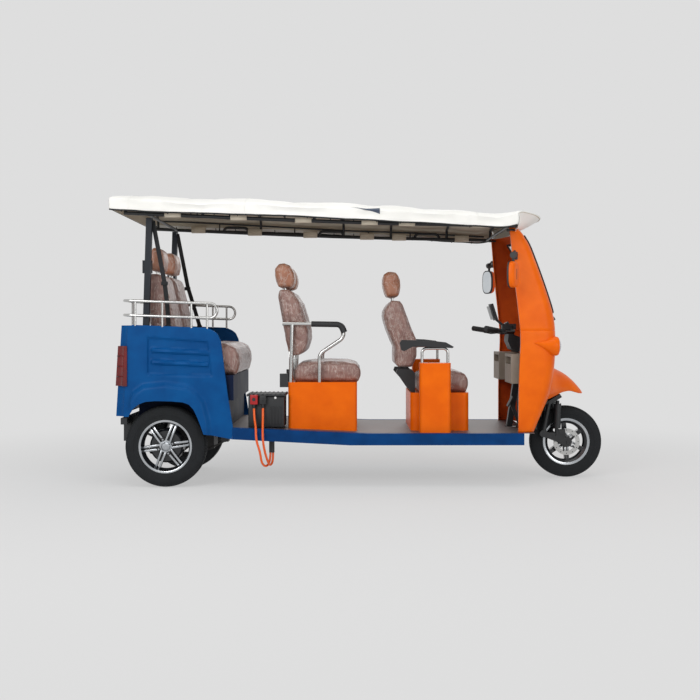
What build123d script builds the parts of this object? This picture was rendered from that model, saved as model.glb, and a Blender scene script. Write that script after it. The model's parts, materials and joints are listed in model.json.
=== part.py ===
"""Electric auto rickshaw with three rows of seats, a fabric canopy and one steered front wheel.

Frame: X forward, Y to the left, Z up, millimetres. The origin is on the ground, midway
along the overall length and on the centre plane.
"""
from math import atan2, cos, degrees, pi, radians, sin, sqrt, tan
import os

from build123d import *

os.makedirs("parts", exist_ok=True)

# Wheels
REAR_X = -1247
REAR_R = 253
REAR_TYRE_W = 130
REAR_TRACK_Y = 410
REAR_RIM_R = 161
REAR_SPINDLE_R = 14
REAR_SPINDLE_Y = 455
FRONT_X = 1332
FRONT_R = 237
FRONT_TYRE_W = 96
FRONT_RIM_R = 151
FRONT_AXLE_R = 10
RUNNING_GAP = 0.1

# Floor, sills and ladder frame
FLOOR_Z = 336
FLOOR_T = 4
FLOOR_KINK_X = 23
FLOOR_REAR_X = -842
FLOOR_REAR_Z = 372
FLOOR_HALF_W = 440
SILL_OUT_Y = 490
SILL_FRONT_X = 978
RAIL_Y = 260
RAIL_W = 50

# Tub
TUB_OUT_Y = 490
TUB_T = 6
TUB_END_X = -1450
TUB_REAR_TOP_X = -1524
TUB_REAR_LOW_X = -1560
TUB_FRONT_X = -829

# Steering axis
RAKE = 32
CROWN_X = 1245
CROWN_Z = 520
STEM_R = 14
HEAD_R = 30
BAR_ALONG = 577

# Front shell
SHELL_T = 4
WELL_HALF_W = 240
WELL_X = 1055
GLASS_HALF_W = 345
GLASS_LOW_Z = 1090
GLASS_TOP_Z = 1570

# Canopy
CANOPY_HALF_W = 585
CANOPY_T = 5
VALANCE_H = 80
ROOF_RAIL_Y = 520
ROOF_TUBE_R = 11

# Seats
BACK_IN_Y = 40
BACK_OUT_Y = 400
MID_HALF_W = 362
DRIVER_HALF_W = 300
SIDE_BOX_IN_Y = 335
SIDE_BOX_OUT_Y = 440

# Cables
CABLE_R = 7
SLEEVE_R = 17


def floor_z(x):
    """Height of the floor's upper face at x."""
    if x >= FLOOR_KINK_X:
        return FLOOR_Z
    if x <= FLOOR_REAR_X:
        return FLOOR_REAR_Z
    rise = (FLOOR_REAR_Z - FLOOR_Z) / (FLOOR_KINK_X - FLOOR_REAR_X)
    return FLOOR_Z + rise * (FLOOR_KINK_X - x)


def side_prism(points, y_low, y_high):
    """Closed XZ outline carried from y_low to y_high."""
    with BuildPart(mode=Mode.PRIVATE) as prism:
        with BuildSketch(Plane.XZ.offset(-y_low)):
            with BuildLine():
                Polyline(*points, close=True)
            make_face()
        extrude(amount=-(y_high - y_low))
    return prism.part


def block(x_low, x_high, y_low, y_high, z_low, z_high):
    """Box between the given limits."""
    centre = ((x_low + x_high) / 2, (y_low + y_high) / 2, (z_low + z_high) / 2)
    solid = Box(x_high - x_low, y_high - y_low, z_high - z_low, mode=Mode.PRIVATE)
    return Pos(*centre) * solid


def rounded_block(limits, radius):
    """Box between limits with its upright edges rounded."""
    with BuildPart(mode=Mode.PRIVATE) as rounded:
        add(block(*limits))
        fillet(rounded.edges().filter_by(Axis.Z), radius)
    return rounded.part


def seat_pad(limits, radius):
    """Seat cushion between limits: flat below, crowned above, with a rolled front edge."""
    x_low, x_high, y_low, y_high, z_low, z_high = limits
    long = x_high - x_low
    tall = z_high - z_low
    outline = [
        (x_low, z_low), (x_high - 14, z_low), (x_high, z_low + 0.3 * tall),
        (x_high, z_low + 0.62 * tall), (x_high - 0.05 * long, z_low + 0.86 * tall),
        (x_high - 0.2 * long, z_low + 0.97 * tall), (x_high - 0.45 * long, z_high),
        (x_low + 0.25 * long, z_low + 0.97 * tall), (x_low + 0.06 * long, z_low + 0.86 * tall),
        (x_low, z_low + 0.6 * tall),
    ]
    return side_prism(outline, y_low, y_high) & rounded_block(limits, radius)


def rod(start, end, radius):
    """Round bar between two points."""
    begin = Vector(*start)
    run = Vector(*end) - begin
    plane = Plane(origin=begin, z_dir=run.normalized())
    bar = Cylinder(radius, run.length, mode=Mode.PRIVATE)
    return plane * Pos(0, 0, run.length / 2) * bar


def disc_y(x, z, y_low, y_high, radius):
    """Round disc whose axis lies along Y."""
    return rod((x, y_low, z), (x, y_high, z), radius)


def swept_tube(points, radii, radius):
    """Tube along straight runs joined by tangent arcs."""
    with BuildPart(mode=Mode.PRIVATE) as tube:
        with BuildLine() as path:
            FilletPolyline(*points, radius=radii)
        with BuildSketch(Plane(origin=path.line @ 0, z_dir=path.line % 0)):
            Circle(radius)
        sweep()
    return tube.part


def on_axis(along):
    """Point on the steering axis, measured up from the fork crown."""
    return (CROWN_X - along * sin(radians(RAKE)), 0, CROWN_Z + along * cos(radians(RAKE)))


def mirrored(solid):
    """The solid and its mirror image across the centre plane."""
    return [solid, mirror(solid, about=Plane.XZ, mode=Mode.PRIVATE)]


# Ladder frame with kicked-up rear rails, outriggers, gooseneck and head tube
RAIL_PROFILE = [
    (975, FLOOR_Z - FLOOR_T), (FLOOR_KINK_X, FLOOR_Z - FLOOR_T),
    (FLOOR_REAR_X, FLOOR_REAR_Z - FLOOR_T), (-885, FLOOR_REAR_Z - FLOOR_T), (-1010, 430),
    (-1535, 430), (-1535, 385), (-1030, 385), (-920, 320), (FLOOR_REAR_X, 318),
    (-100, 282), (975, 282),
]
# x_low, x_high, half_width, z_low, z_high
CROSS_MEMBERS = [
    (925, 975, FLOOR_HALF_W, 282, 332), (480, 520, FLOOR_HALF_W, 288, 332),
    (30, 70, FLOOR_HALF_W, 288, 332), (-440, -400, FLOOR_HALF_W, 306, 349),
    (-820, -780, FLOOR_HALF_W, 322, 365), (-1080, -1040, RAIL_Y, 388, 428),
    (-1530, -1490, 440, 388, 428),
]
SPRING_EYE_FRONT = (-899, 290)
SPRING_EYE_REAR = (-1520, 296)
with BuildPart() as chassis_frame:
    for rail in mirrored(side_prism(RAIL_PROFILE, RAIL_Y - RAIL_W / 2, RAIL_Y + RAIL_W / 2)):
        add(rail)
    for x_low, x_high, half_width, z_low, z_high in CROSS_MEMBERS:
        add(block(x_low, x_high, -half_width, half_width, z_low, z_high))
    add(side_prism([(935, 300), (972, 300), (1048, 775), (1008, 790)], -22, 22))
    add(side_prism([(1008, 790), (1048, 775), (1135, 752), (1160, 700), (1118, 686), (1000, 742)],
                   -20, 20))
    add(rod(on_axis(60), on_axis(300), HEAD_R))
    add(rod(on_axis(50), on_axis(310), STEM_R + RUNNING_GAP), mode=Mode.SUBTRACT)
    for eye_x, eye_z, cheek_top in (SPRING_EYE_FRONT + (366,), SPRING_EYE_REAR + (400,)):
        for inner in (RAIL_Y - RAIL_W / 2 - 6, RAIL_Y + RAIL_W / 2):
            for cheek in mirrored(block(eye_x - 24, eye_x + 24, inner, inner + 6, eye_z - 26,
                                        cheek_top)):
                add(cheek)
chassis_frame.part.label = "chassis_frame"
export_step(chassis_frame.part, "parts/chassis_frame.step")

# Live rear axle: tube, final drive, motor block and drum backing plates
with BuildPart() as rear_axle:
    add(disc_y(REAR_X, REAR_R, -335, 335, 32))
    add(disc_y(REAR_X, REAR_R, -70, 70, 92))
    add(block(-1160, -1000, -60, 130, 195, 345))
    for plate in mirrored(disc_y(REAR_X, REAR_R, 322, 332, 96)):
        add(plate)
    add(disc_y(REAR_X, REAR_R, -REAR_SPINDLE_Y, REAR_SPINDLE_Y, REAR_SPINDLE_R))
rear_axle.part.label = "rear_axle"
export_step(rear_axle.part, "parts/rear_axle.step")

# Leaf springs under the axle, with rolled eyes, pins and axle saddles
LEAVES = [(0, 8, 0), (1, 8, 70), (2, 8, 140)]
with BuildPart() as leaf_springs:
    span = SPRING_EYE_FRONT[0] - SPRING_EYE_REAR[0]
    mid_x = (SPRING_EYE_FRONT[0] + SPRING_EYE_REAR[0]) / 2
    sag = 82
    arc_r = (span * span / 4 + sag * sag) / (2 * sag)
    centre_z = SPRING_EYE_FRONT[1] - 18 - sag + arc_r
    for index, leaf_t, trim in LEAVES:
        radius = arc_r + index * leaf_t
        with BuildPart(mode=Mode.PRIVATE) as leaf:
            with BuildSketch(Plane.XZ.offset(-(RAIL_Y - 22))):
                with Locations((mid_x, centre_z)):
                    Circle(radius + leaf_t)
                    Circle(radius, mode=Mode.SUBTRACT)
                with Locations((mid_x, centre_z - arc_r)):
                    Rectangle(span - 2 * trim, 240, mode=Mode.INTERSECT)
            extrude(amount=-44)
        for side in mirrored(leaf.part):
            add(side)
    for eye_x, eye_z in (SPRING_EYE_FRONT, SPRING_EYE_REAR):
        for eye in mirrored(disc_y(eye_x, eye_z - 12, RAIL_Y - 22, RAIL_Y + 22, 17)):
            add(eye)
        for pin in mirrored(disc_y(eye_x, eye_z - 12, RAIL_Y - 25, RAIL_Y + 25, 8)):
            add(pin)
    for saddle in mirrored(block(REAR_X - 42, REAR_X + 42, RAIL_Y - 22, RAIL_Y + 22,
                                 centre_z - arc_r - 4, REAR_R)):
        add(saddle)
    add(disc_y(REAR_X, REAR_R, -400, 400, 32), mode=Mode.SUBTRACT)
leaf_springs.part.label = "leaf_springs"
export_step(leaf_springs.part, "parts/leaf_springs.step")

# Painted sills along both sides of the floor
SILL_PROFILE = [
    (TUB_FRONT_X, FLOOR_REAR_Z), (FLOOR_KINK_X, FLOOR_Z), (SILL_FRONT_X, FLOOR_Z),
    (SILL_FRONT_X, 265), (-100, 264), (TUB_FRONT_X, 301),
]
with BuildPart() as side_sills:
    for sill in mirrored(side_prism(SILL_PROFILE, FLOOR_HALF_W, SILL_OUT_Y)):
        add(sill)
side_sills.part.label = "side_sills"
export_step(side_sills.part, "parts/side_sills.step")

# Tread-plate floor
FLOOR_PROFILE = [
    (1050, FLOOR_Z), (FLOOR_KINK_X, FLOOR_Z), (FLOOR_REAR_X, FLOOR_REAR_Z), (-885, FLOOR_REAR_Z),
    (-885, FLOOR_REAR_Z - FLOOR_T), (FLOOR_REAR_X, FLOOR_REAR_Z - FLOOR_T),
    (FLOOR_KINK_X, FLOOR_Z - FLOOR_T), (1050, FLOOR_Z - FLOOR_T),
]
with BuildPart() as floor_plate:
    add(side_prism(FLOOR_PROFILE, -FLOOR_HALF_W, FLOOR_HALF_W))
    add(block(930, 1060, -26, 26, 320, 345), mode=Mode.SUBTRACT)
floor_plate.part.label = "floor_plate"
export_step(floor_plate.part, "parts/floor_plate.step")

# Tub sides with stamped panel, arch flare and turned-in rims
ARCH = [(-1478, 430), (-1454, 471), (-1392, 529), (-1077, 522), (-1003, 335), (-1003, 250),
        (-1478, 250)]
TUB_OUTLINE = [
    (TUB_END_X, 1004), (-985, 986), (-945, 972), (-919, 945), (-904, 915), (-862, 576),
    (TUB_FRONT_X, FLOOR_REAR_Z), (TUB_FRONT_X, 301), (-1010, 335), (-1010, 440),
    (TUB_END_X, 440),
]
FLARE = [
    (-1444, 575), (-1380, 640), (-1300, 656), (-1180, 656), (-1108, 637), (-1020, 570),
    (-975, 440), (-950, 327), (-1003, 335), (-1077, 522), (-1392, 529), (-1444, 480),
]
PANEL_GROOVES = [
    ((-1358, 937), (-976, 909)), ((-1358, 856), (-966, 838)), ((-1358, 776), (-957, 762)),
    ((-1358, 696), (-949, 687)),
]
RIM_TOP = [(TUB_END_X, 1004), (-985, 986), (-985, 980), (TUB_END_X, 998)]
RIM_FRONT = [(-904, 915), (-862, 576), (TUB_FRONT_X, FLOOR_REAR_Z),
             (TUB_FRONT_X - 6, FLOOR_REAR_Z), (-868, 576), (-910, 915)]
with BuildPart() as tub_sides:
    skin = side_prism(TUB_OUTLINE, TUB_OUT_Y - TUB_T, TUB_OUT_Y)
    skin = skin + side_prism(FLARE, TUB_OUT_Y - 1, TUB_OUT_Y + 8)
    skin = skin - side_prism(ARCH, TUB_OUT_Y - 20, TUB_OUT_Y + 20)
    skin = skin + side_prism(RIM_TOP, TUB_OUT_Y - 36, TUB_OUT_Y - 1)
    skin = skin + side_prism(RIM_FRONT, TUB_OUT_Y - 30, TUB_OUT_Y - 1)
    for (x_one, z_one), (x_two, z_two) in PANEL_GROOVES:
        groove = [(x_one, z_one), (x_two, z_two), (x_two, z_two - 10), (x_one, z_one - 10)]
        skin = skin - side_prism(groove, TUB_OUT_Y - 3, TUB_OUT_Y + 2)
    skin = skin - block(-1398, -1348, 436, 474, 900, 1010)
    for side in mirrored(skin):
        add(side)
tub_sides.part.label = "tub_sides"
export_step(tub_sides.part, "parts/tub_sides.step")


def tub_ring(rear_x, z, inset, corner):
    """Plan section of the tub's rear wall, as a face at height z."""
    half = TUB_OUT_Y - inset
    rear = rear_x + inset
    with BuildSketch(Plane.XY.offset(z), mode=Mode.PRIVATE) as ring:
        with BuildLine():
            Polyline((TUB_END_X, -half), (rear + corner, -half))
            RadiusArc((rear + corner, -half), (rear, -half + corner), -corner)
            Line((rear, -half + corner), (rear, half - corner))
            RadiusArc((rear, half - corner), (rear + corner, half), -corner)
            Polyline((rear + corner, half), (TUB_END_X, half), (TUB_END_X, -half))
        make_face()
    return ring.sketch


# Rear lamps let into the tub's corners: limits x, y, z
LAMP = (-1580, -1478, 405, 500, 630, 878)
LAMP_PROUD = 12
# Rear wall of the tub, wrapped round both corners
with BuildPart() as tub_rear:
    outer = loft([tub_ring(TUB_REAR_LOW_X, 440, 0, 60).face(),
                  tub_ring(TUB_REAR_TOP_X, 1006, 0, 50).face()], mode=Mode.PRIVATE)
    inner = loft([tub_ring(TUB_REAR_LOW_X, 440, TUB_T, 54).face(),
                  tub_ring(TUB_REAR_TOP_X, 1006, TUB_T, 44).face()], mode=Mode.PRIVATE)
    wall = outer - inner - side_prism(ARCH, -600, 600)
    wall = wall + side_prism([(TUB_REAR_TOP_X + 3, 1000), (TUB_REAR_TOP_X + 3, 1006),
                              (TUB_REAR_TOP_X + 36, 1006), (TUB_REAR_TOP_X + 36, 1000)],
                             -445, 445)
    add(wall)
    for lamp in mirrored(block(*LAMP)):
        add(lamp, mode=Mode.SUBTRACT)
tub_rear.part.label = "tub_rear"
export_step(tub_rear.part, "parts/tub_rear.step")

with BuildPart() as tail_lamps:
    lens_body = loft([tub_ring(TUB_REAR_LOW_X, 440, -LAMP_PROUD, 60).face(),
                      tub_ring(TUB_REAR_TOP_X, 1006, -LAMP_PROUD, 50).face()], mode=Mode.PRIVATE)
    for lamp in mirrored(block(*LAMP)):
        add(lamp & lens_body)
tail_lamps.part.label = "tail_lamps"
export_step(tail_lamps.part, "parts/tail_lamps.step")

# Double hand rail round the tub, on uprights
RAIL_TUBE_R = 9
RAIL_TUBE_Y = 484
RAIL_SLOPE = 2.2
# height at the front end, for the upper and lower tubes
RAIL_HEIGHTS = [1140, 1050]
RAIL_FRONT_X = -969
UPRIGHT_X = [-1430, -1262, -1083, -985]
with BuildPart() as tub_rail:
    rise = (RAIL_FRONT_X + 1508) * tan(radians(RAIL_SLOPE))
    upper_z, lower_z = RAIL_HEIGHTS
    bend_x = RAIL_FRONT_X + (upper_z - lower_z) / 2
    loop = [(-1508, 0, lower_z + rise), (-1508, RAIL_TUBE_Y, lower_z + rise),
            (bend_x, RAIL_TUBE_Y, lower_z), (bend_x, RAIL_TUBE_Y, upper_z),
            (-1508, RAIL_TUBE_Y, upper_z + rise), (-1508, 0, upper_z + rise)]
    for half in mirrored(swept_tube(loop, [60, 43, 43, 60], RAIL_TUBE_R)):
        add(half)
    for x in UPRIGHT_X:
        top = RAIL_HEIGHTS[0] + (RAIL_FRONT_X - x) * tan(radians(RAIL_SLOPE))
        base = 1004 - (x - TUB_END_X) * 18 / 465
        for upright in mirrored(rod((x, RAIL_TUBE_Y, base), (x, RAIL_TUBE_Y, top), 7)):
            add(upright)
    for y in (-200, 200):
        add(rod((-1508, y, 1006), (-1508, y, 1160), 7))
    tub_top = [(TUB_END_X, 1004), (-985, 986), (-985, 900), (TUB_END_X, 900)]
    for rim_solid in mirrored(side_prism(tub_top, 400, 500)):
        add(rim_solid, mode=Mode.SUBTRACT)
tub_rail.part.label = "tub_rail"
export_step(tub_rail.part, "parts/tub_rail.step")

# Rear bench: base, cushion and two high-backed rests
with BuildPart() as rear_seat_base:
    add(block(-1440, -925, -478, 478, 540, 696))
    add(block(-925, -825, -455, 455, 540, 696))
    add(block(-1440, -1010, -320, 320, 432, 540))
    add(block(-885, -855, -FLOOR_HALF_W, FLOOR_HALF_W, FLOOR_REAR_Z, 540))
rear_seat_base.part.label = "rear_seat_base"
export_step(rear_seat_base.part, "parts/rear_seat_base.step")

with BuildPart() as rear_cushion:
    add(seat_pad((-1188, -790, -436, 436, 696, 896), 60))
rear_cushion.part.label = "rear_cushion"
export_step(rear_cushion.part, "parts/rear_cushion.step")

REAR_BACK = [(-1192, 697), (-1192, 880), (-1205, 980), (-1240, 1150), (-1285, 1320), (-1310, 1342),
             (-1375, 1342), (-1396, 1320), (-1345, 900), (-1325, 697)]
REAR_HEAD = [(-1294, 1352), (-1282, 1420), (-1296, 1485), (-1320, 1502), (-1350, 1502),
             (-1374, 1480), (-1378, 1400), (-1368, 1352)]
with BuildPart() as rear_seat_backs:
    for back in mirrored(side_prism(REAR_BACK, BACK_IN_Y, BACK_OUT_Y)):
        add(back)
    for head in mirrored(side_prism(REAR_HEAD, 115, 355)):
        add(head)
    for y in (190, 280):
        for stay in mirrored(rod((-1338, y, 1330), (-1334, y, 1365), 7)):
            add(stay)
rear_seat_backs.part.label = "rear_seat_backs"
export_step(rear_seat_backs.part, "parts/rear_seat_backs.step")

# Middle bench: rounded base box, cushion, two rests
MID_BASE_X = (-492, -56)
MID_BASE_TOP = 647
with BuildPart() as mid_seat_base:
    base = rounded_block((MID_BASE_X[0], MID_BASE_X[1], -MID_HALF_W, MID_HALF_W, 300,
                          MID_BASE_TOP), 25)
    under = [(-900, 200), (100, 200), (100, FLOOR_Z), (FLOOR_KINK_X, FLOOR_Z), (-820, floor_z(-820)),
             (-900, floor_z(-820))]
    add(base - side_prism(under, -500, 500))
mid_seat_base.part.label = "mid_seat_base"
export_step(mid_seat_base.part, "parts/mid_seat_base.step")

with BuildPart() as mid_cushion:
    add(seat_pad((-470, -19, -330, 330, MID_BASE_TOP, 776), 70))
mid_cushion.part.label = "mid_cushion"
export_step(mid_cushion.part, "parts/mid_cushion.step")

MID_BACK = [(-478, 800), (-424, 812), (-386, 850), (-369, 912), (-374, 980), (-395, 1060),
            (-424, 1151), (-470, 1226), (-500, 1240), (-548, 1240), (-562, 1225), (-528, 1041),
            (-505, 912)]
MID_HEAD = [(-470, 1250), (-456, 1290), (-462, 1345), (-486, 1392), (-520, 1408), (-560, 1404),
            (-586, 1370), (-580, 1310), (-560, 1250)]
with BuildPart() as mid_seat_backs:
    for back in mirrored(side_prism(MID_BACK, 8, 328)):
        add(back)
    for head in mirrored(side_prism(MID_HEAD, 60, 276)):
        add(head)
    for y in (128, 208):
        for stay in mirrored(rod((-520, y, 1228), (-520, y, 1262), 7)):
            add(stay)
    for y in (50, 286):
        for bracket in mirrored(side_prism([(-490, MID_BASE_TOP), (-474, MID_BASE_TOP), (-474, 815),
                                            (-490, 852)], y - 14, y + 14)):
            add(bracket)
mid_seat_backs.part.label = "mid_seat_backs"
export_step(mid_seat_backs.part, "parts/mid_seat_backs.step")

# Steel arm tubes beside the middle bench, and hoops on the driver's side boxes
ARM_Y = 345
ARM_R = 12
HOOP_Y = 388
HOOP_R = 9
SIDE_BOX_X = (335, 530)
SIDE_BOX_TOP = 771
with BuildPart() as arm_tubes:
    front_path = [(-528, ARM_Y, 1018), (-160, ARM_Y, 1012), (-138, ARM_Y, 930),
                  (-294, ARM_Y, 826), (-294, ARM_Y, MID_BASE_TOP)]
    for tube in mirrored(swept_tube(front_path, [40, 45, 60], ARM_R)):
        add(tube)
    for tube in mirrored(rod((-477, ARM_Y, MID_BASE_TOP - 5), (-467, ARM_Y, 1017), ARM_R)):
        add(tube)
    hoop_path = [(352, HOOP_Y, SIDE_BOX_TOP), (352, HOOP_Y, 862), (514, HOOP_Y, 862),
                 (514, HOOP_Y, SIDE_BOX_TOP)]
    for tube in mirrored(swept_tube(hoop_path, 30, HOOP_R)):
        add(tube)
    add(block(-600, 0, -400, 400, 600, MID_BASE_TOP), mode=Mode.SUBTRACT)
arm_tubes.part.label = "arm_tubes"
export_step(arm_tubes.part, "parts/arm_tubes.step")

# Black arm pads: sleeves on the middle tubes, cushions over the driver's hoops
PAD = [(212, 895), (225, 915), (420, 909), (500, 900), (549, 872), (540, 864), (380, 872.0),
       (290, 872), (240, 845), (222, 850)]
with BuildPart() as arm_pads:
    sleeve_path = [(-345, ARM_Y, 1015), (-160, ARM_Y, 1012), (-138, ARM_Y, 960)]
    for sleeve in mirrored(swept_tube(sleeve_path, 40, 18)):
        add(sleeve)
    for pad in mirrored(side_prism(PAD, HOOP_Y - 35, HOOP_Y + 35)):
        add(pad)
    for tube in mirrored(swept_tube(front_path, [40, 45, 60], ARM_R)):
        add(tube, mode=Mode.SUBTRACT)
    for tube in mirrored(swept_tube(hoop_path, 30, HOOP_R)):
        add(tube, mode=Mode.SUBTRACT)
arm_pads.part.label = "arm_pads"
export_step(arm_pads.part, "parts/arm_pads.step")

# Driver's pedestal and the boxes at both sides
with BuildPart() as driver_seat_base:
    add(rounded_block((285, 658, -DRIVER_HALF_W, DRIVER_HALF_W, FLOOR_Z, 576), 40))
    for box in mirrored(rounded_block((SIDE_BOX_X[0], SIDE_BOX_X[1], SIDE_BOX_IN_Y, SIDE_BOX_OUT_Y,
                                       FLOOR_Z, SIDE_BOX_TOP), 25)):
        add(box)
driver_seat_base.part.label = "driver_seat_base"
export_step(driver_seat_base.part, "parts/driver_seat_base.step")

with BuildPart() as driver_cushion:
    add(seat_pad((320, 672, -250, 250, 576, 712), 60))
driver_cushion.part.label = "driver_cushion"
export_step(driver_cushion.part, "parts/driver_cushion.step")

DRIVER_BACK = [(205, 725), (300, 725), (328, 803), (322, 916), (285, 1010), (259, 1083), (223, 1176),
               (160, 1178), (118, 1110), (117, 1070), (143, 983), (190, 869), (192, 760)]
DRIVER_HEAD = [(215, 1190), (228, 1250), (222, 1330), (200, 1360), (150, 1364), (116, 1340),
               (114, 1270), (140, 1190)]
with BuildPart() as driver_seat_back:
    add(side_prism(DRIVER_BACK, -235, 235))
    add(side_prism(DRIVER_HEAD, -120, 120))
    for y in (-45, 45):
        add(rod((180, y, 1165), (178, y, 1205), 7))
driver_seat_back.part.label = "driver_seat_back"
export_step(driver_seat_back.part, "parts/driver_seat_back.step")

# Black recliner brackets behind the driver's cushion and belt reels behind the middle bench
RECLINER = [(205, 724), (295, 724), (318, 700), (318, 578), (290, 578), (240, 650), (196, 700)]
with BuildPart() as seat_brackets:
    for bracket in mirrored(side_prism(RECLINER, 180, 232)):
        add(bracket)
    for reel in mirrored(block(-545, -492, 300, 345, 615, 700)):
        add(reel)
seat_brackets.part.label = "seat_brackets"
export_step(seat_brackets.part, "parts/seat_brackets.step")

# Battery box with lid and two sockets on its outer face
BATTERY_IN_Y = -200
BATTERY_OUT_Y = -420
with BuildPart() as battery_box:
    shell = [(-738, floor_z(-738)), (-511, floor_z(-511)), (-511, 577), (-738, 577)]
    add(side_prism(shell, BATTERY_OUT_Y, BATTERY_IN_Y))
    add(block(-748, -501, BATTERY_OUT_Y - 8, BATTERY_IN_Y + 8, 577, 611))
    add(block(-723, -675, BATTERY_OUT_Y - 32, BATTERY_OUT_Y, 513, 573))
    add(block(-664, -623, BATTERY_OUT_Y - 32, BATTERY_OUT_Y, 514, 569))
battery_box.part.label = "battery_box"
export_step(battery_box.part, "parts/battery_box.step")


def cord_radii(points):
    """Arc radius at each corner: as large as its shorter run allows."""
    radii = []
    for before, here, after in zip(points, points[1:], points[2:]):
        run_in = Vector(*here) - Vector(*before)
        run_out = Vector(*after) - Vector(*here)
        turn = radians(run_in.get_angle(run_out))
        radii.append(0.45 * min(run_in.length, run_out.length) / tan(turn / 2))
    return radii


# Charging leads: down over the sill, under it and into a sleeve below the floor
CABLE_PATHS = {
    "cable_1": [(-699, -437, 513), (-699, -437, 436), (-682, -495, 378), (-678, -528, 303),
                (-652, -532, 226), (-644, -522, 157), (-620, -474, 128), (-599, -423, 153),
                (-598, -410, 214)],
    "cable_2": [(-643, -437, 514), (-643, -437, 441), (-640, -493, 380), (-636, -534, 303),
                (-626, -520, 232), (-610, -509, 174), (-597, -469, 134), (-581, -418, 154),
                (-582, -410, 214)],
}
SLEEVE = ((-590, -410, 212), (-590, -410, 360))
for cable_name, cable_points in CABLE_PATHS.items():
    print(cable_name, [round(radius) for radius in cord_radii(cable_points)])
with BuildPart() as cable_sleeve:
    add(rod(SLEEVE[0], SLEEVE[1], SLEEVE_R))
    add(side_prism(FLOOR_PROFILE, -500, 500), mode=Mode.SUBTRACT)
cable_sleeve.part.label = "cable_sleeve"
export_step(cable_sleeve.part, "parts/cable_sleeve.step")

with BuildPart() as cable_1:
    add(swept_tube(CABLE_PATHS["cable_1"], cord_radii(CABLE_PATHS["cable_1"]), CABLE_R))
    add(rod(SLEEVE[0], SLEEVE[1], SLEEVE_R), mode=Mode.SUBTRACT)
cable_1.part.label = "cable_1"
export_step(cable_1.part, "parts/cable_1.step")

with BuildPart() as cable_2:
    add(swept_tube(CABLE_PATHS["cable_2"], cord_radii(CABLE_PATHS["cable_2"]), CABLE_R))
    add(rod(SLEEVE[0], SLEEVE[1], SLEEVE_R), mode=Mode.SUBTRACT)
cable_2.part.label = "cable_2"
export_step(cable_2.part, "parts/cable_2.step")

# Canopy stations: x, crown height, hem height
CANOPY_STATIONS = [
    (-1569, 1815, 1717), (-1530, 1852, 1714), (-742, 1834, 1684), (-229, 1811, 1660),
    (180, 1788, 1638), (681, 1751, 1611), (841, 1736, 1599), (1010, 1722, 1640),
    (1165, 1695, 1668),
]
CANOPY_TIP_X = 1155


def shoulder_z(crown, hem):
    """Height at which the side valance meets the arched top."""
    return min(hem + VALANCE_H, crown - 20)


def canopy_heights(x):
    """Crown and shoulder heights of the canopy at x."""
    for (x_one, crown_one, hem_one), (x_two, crown_two, hem_two) in zip(CANOPY_STATIONS,
                                                                        CANOPY_STATIONS[1:]):
        if x_one <= x <= x_two:
            part = (x - x_one) / (x_two - x_one)
            shoulder_one = shoulder_z(crown_one, hem_one)
            shoulder_two = shoulder_z(crown_two, hem_two)
            return (crown_one + part * (crown_two - crown_one),
                    shoulder_one + part * (shoulder_two - shoulder_one))
    return CANOPY_STATIONS[-1][1:]


def canopy_section(x, crown, hem, inset, floor_drop):
    """Cross section of the canopy at x, drawn in by inset and let down by floor_drop."""
    half = CANOPY_HALF_W - inset
    shoulder = shoulder_z(crown, hem) - inset
    with BuildSketch(Plane.YZ.offset(x), mode=Mode.PRIVATE) as section:
        with BuildLine():
            Polyline((-half, shoulder), (-half, hem - floor_drop), (half, hem - floor_drop),
                     (half, shoulder))
            ThreePointArc((half, shoulder), (0, crown - inset), (-half, shoulder))
        make_face()
    return section.sketch.face()


def lofted(faces):
    """Ruled solid through the given sections."""
    with BuildPart(mode=Mode.PRIVATE) as body:
        loft(faces, ruled=True)
    return body.part


# Fabric canopy with side valances, closed rear drop and curved peak
with BuildPart() as canopy:
    cloth = lofted([canopy_section(x, crown, hem, 0, 0) for x, crown, hem in CANOPY_STATIONS])
    hollow_stations = [(-1562, 1809, 1717)] + CANOPY_STATIONS[1:-1] + [(1180, 1692, 1666)]
    hollow = lofted([canopy_section(x, crown, hem, CANOPY_T, 20)
                     for x, crown, hem in hollow_stations])
    cloth = cloth - hollow
    with BuildPart(mode=Mode.PRIVATE) as plan:
        with BuildSketch(Plane.XY.offset(1500)):
            with BuildLine():
                Polyline((820, CANOPY_HALF_W + 5), (-1600, CANOPY_HALF_W + 5),
                         (-1600, -CANOPY_HALF_W - 5), (820, -CANOPY_HALF_W - 5))
                ThreePointArc((820, -CANOPY_HALF_W - 5), (CANOPY_TIP_X, 0),
                              (820, CANOPY_HALF_W + 5))
            make_face()
        extrude(amount=500)
    add(cloth & plan.part)
canopy.part.label = "canopy"
export_step(canopy.part, "parts/canopy.step")


def bow_arc(x, drop):
    """End height, centre height of a roof bow at x that lies drop below the canopy."""
    crown, shoulder = canopy_heights(x)
    rise = crown - shoulder
    half = CANOPY_HALF_W
    arc_r = (half * half + rise * rise) / (2 * rise)
    centre = crown - arc_r
    inner_r = arc_r - drop
    return centre + sqrt(inner_r * inner_r - ROOF_RAIL_Y * ROOF_RAIL_Y), centre + inner_r


# Roof frame: side rails, cross bows, front and rear ties, grab handles
ROOF_RAIL_STATIONS = [(-1490, 1690), (-742, 1654), (-229, 1634), (180, 1622), (930, 1612)]
BOW_X = [-1480, -742, -148, 192, 592, 905]
BOW_R = 9
BOW_GAP = 1
GRIP_X = [-1150, -330, 420]


def roof_rail_z(x):
    """Height of the roof's side rail at x."""
    for (x_one, z_one), (x_two, z_two) in zip(ROOF_RAIL_STATIONS, ROOF_RAIL_STATIONS[1:]):
        if x_one <= x <= x_two:
            return z_one + (z_two - z_one) * (x - x_one) / (x_two - x_one)
    return ROOF_RAIL_STATIONS[-1][1]


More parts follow.
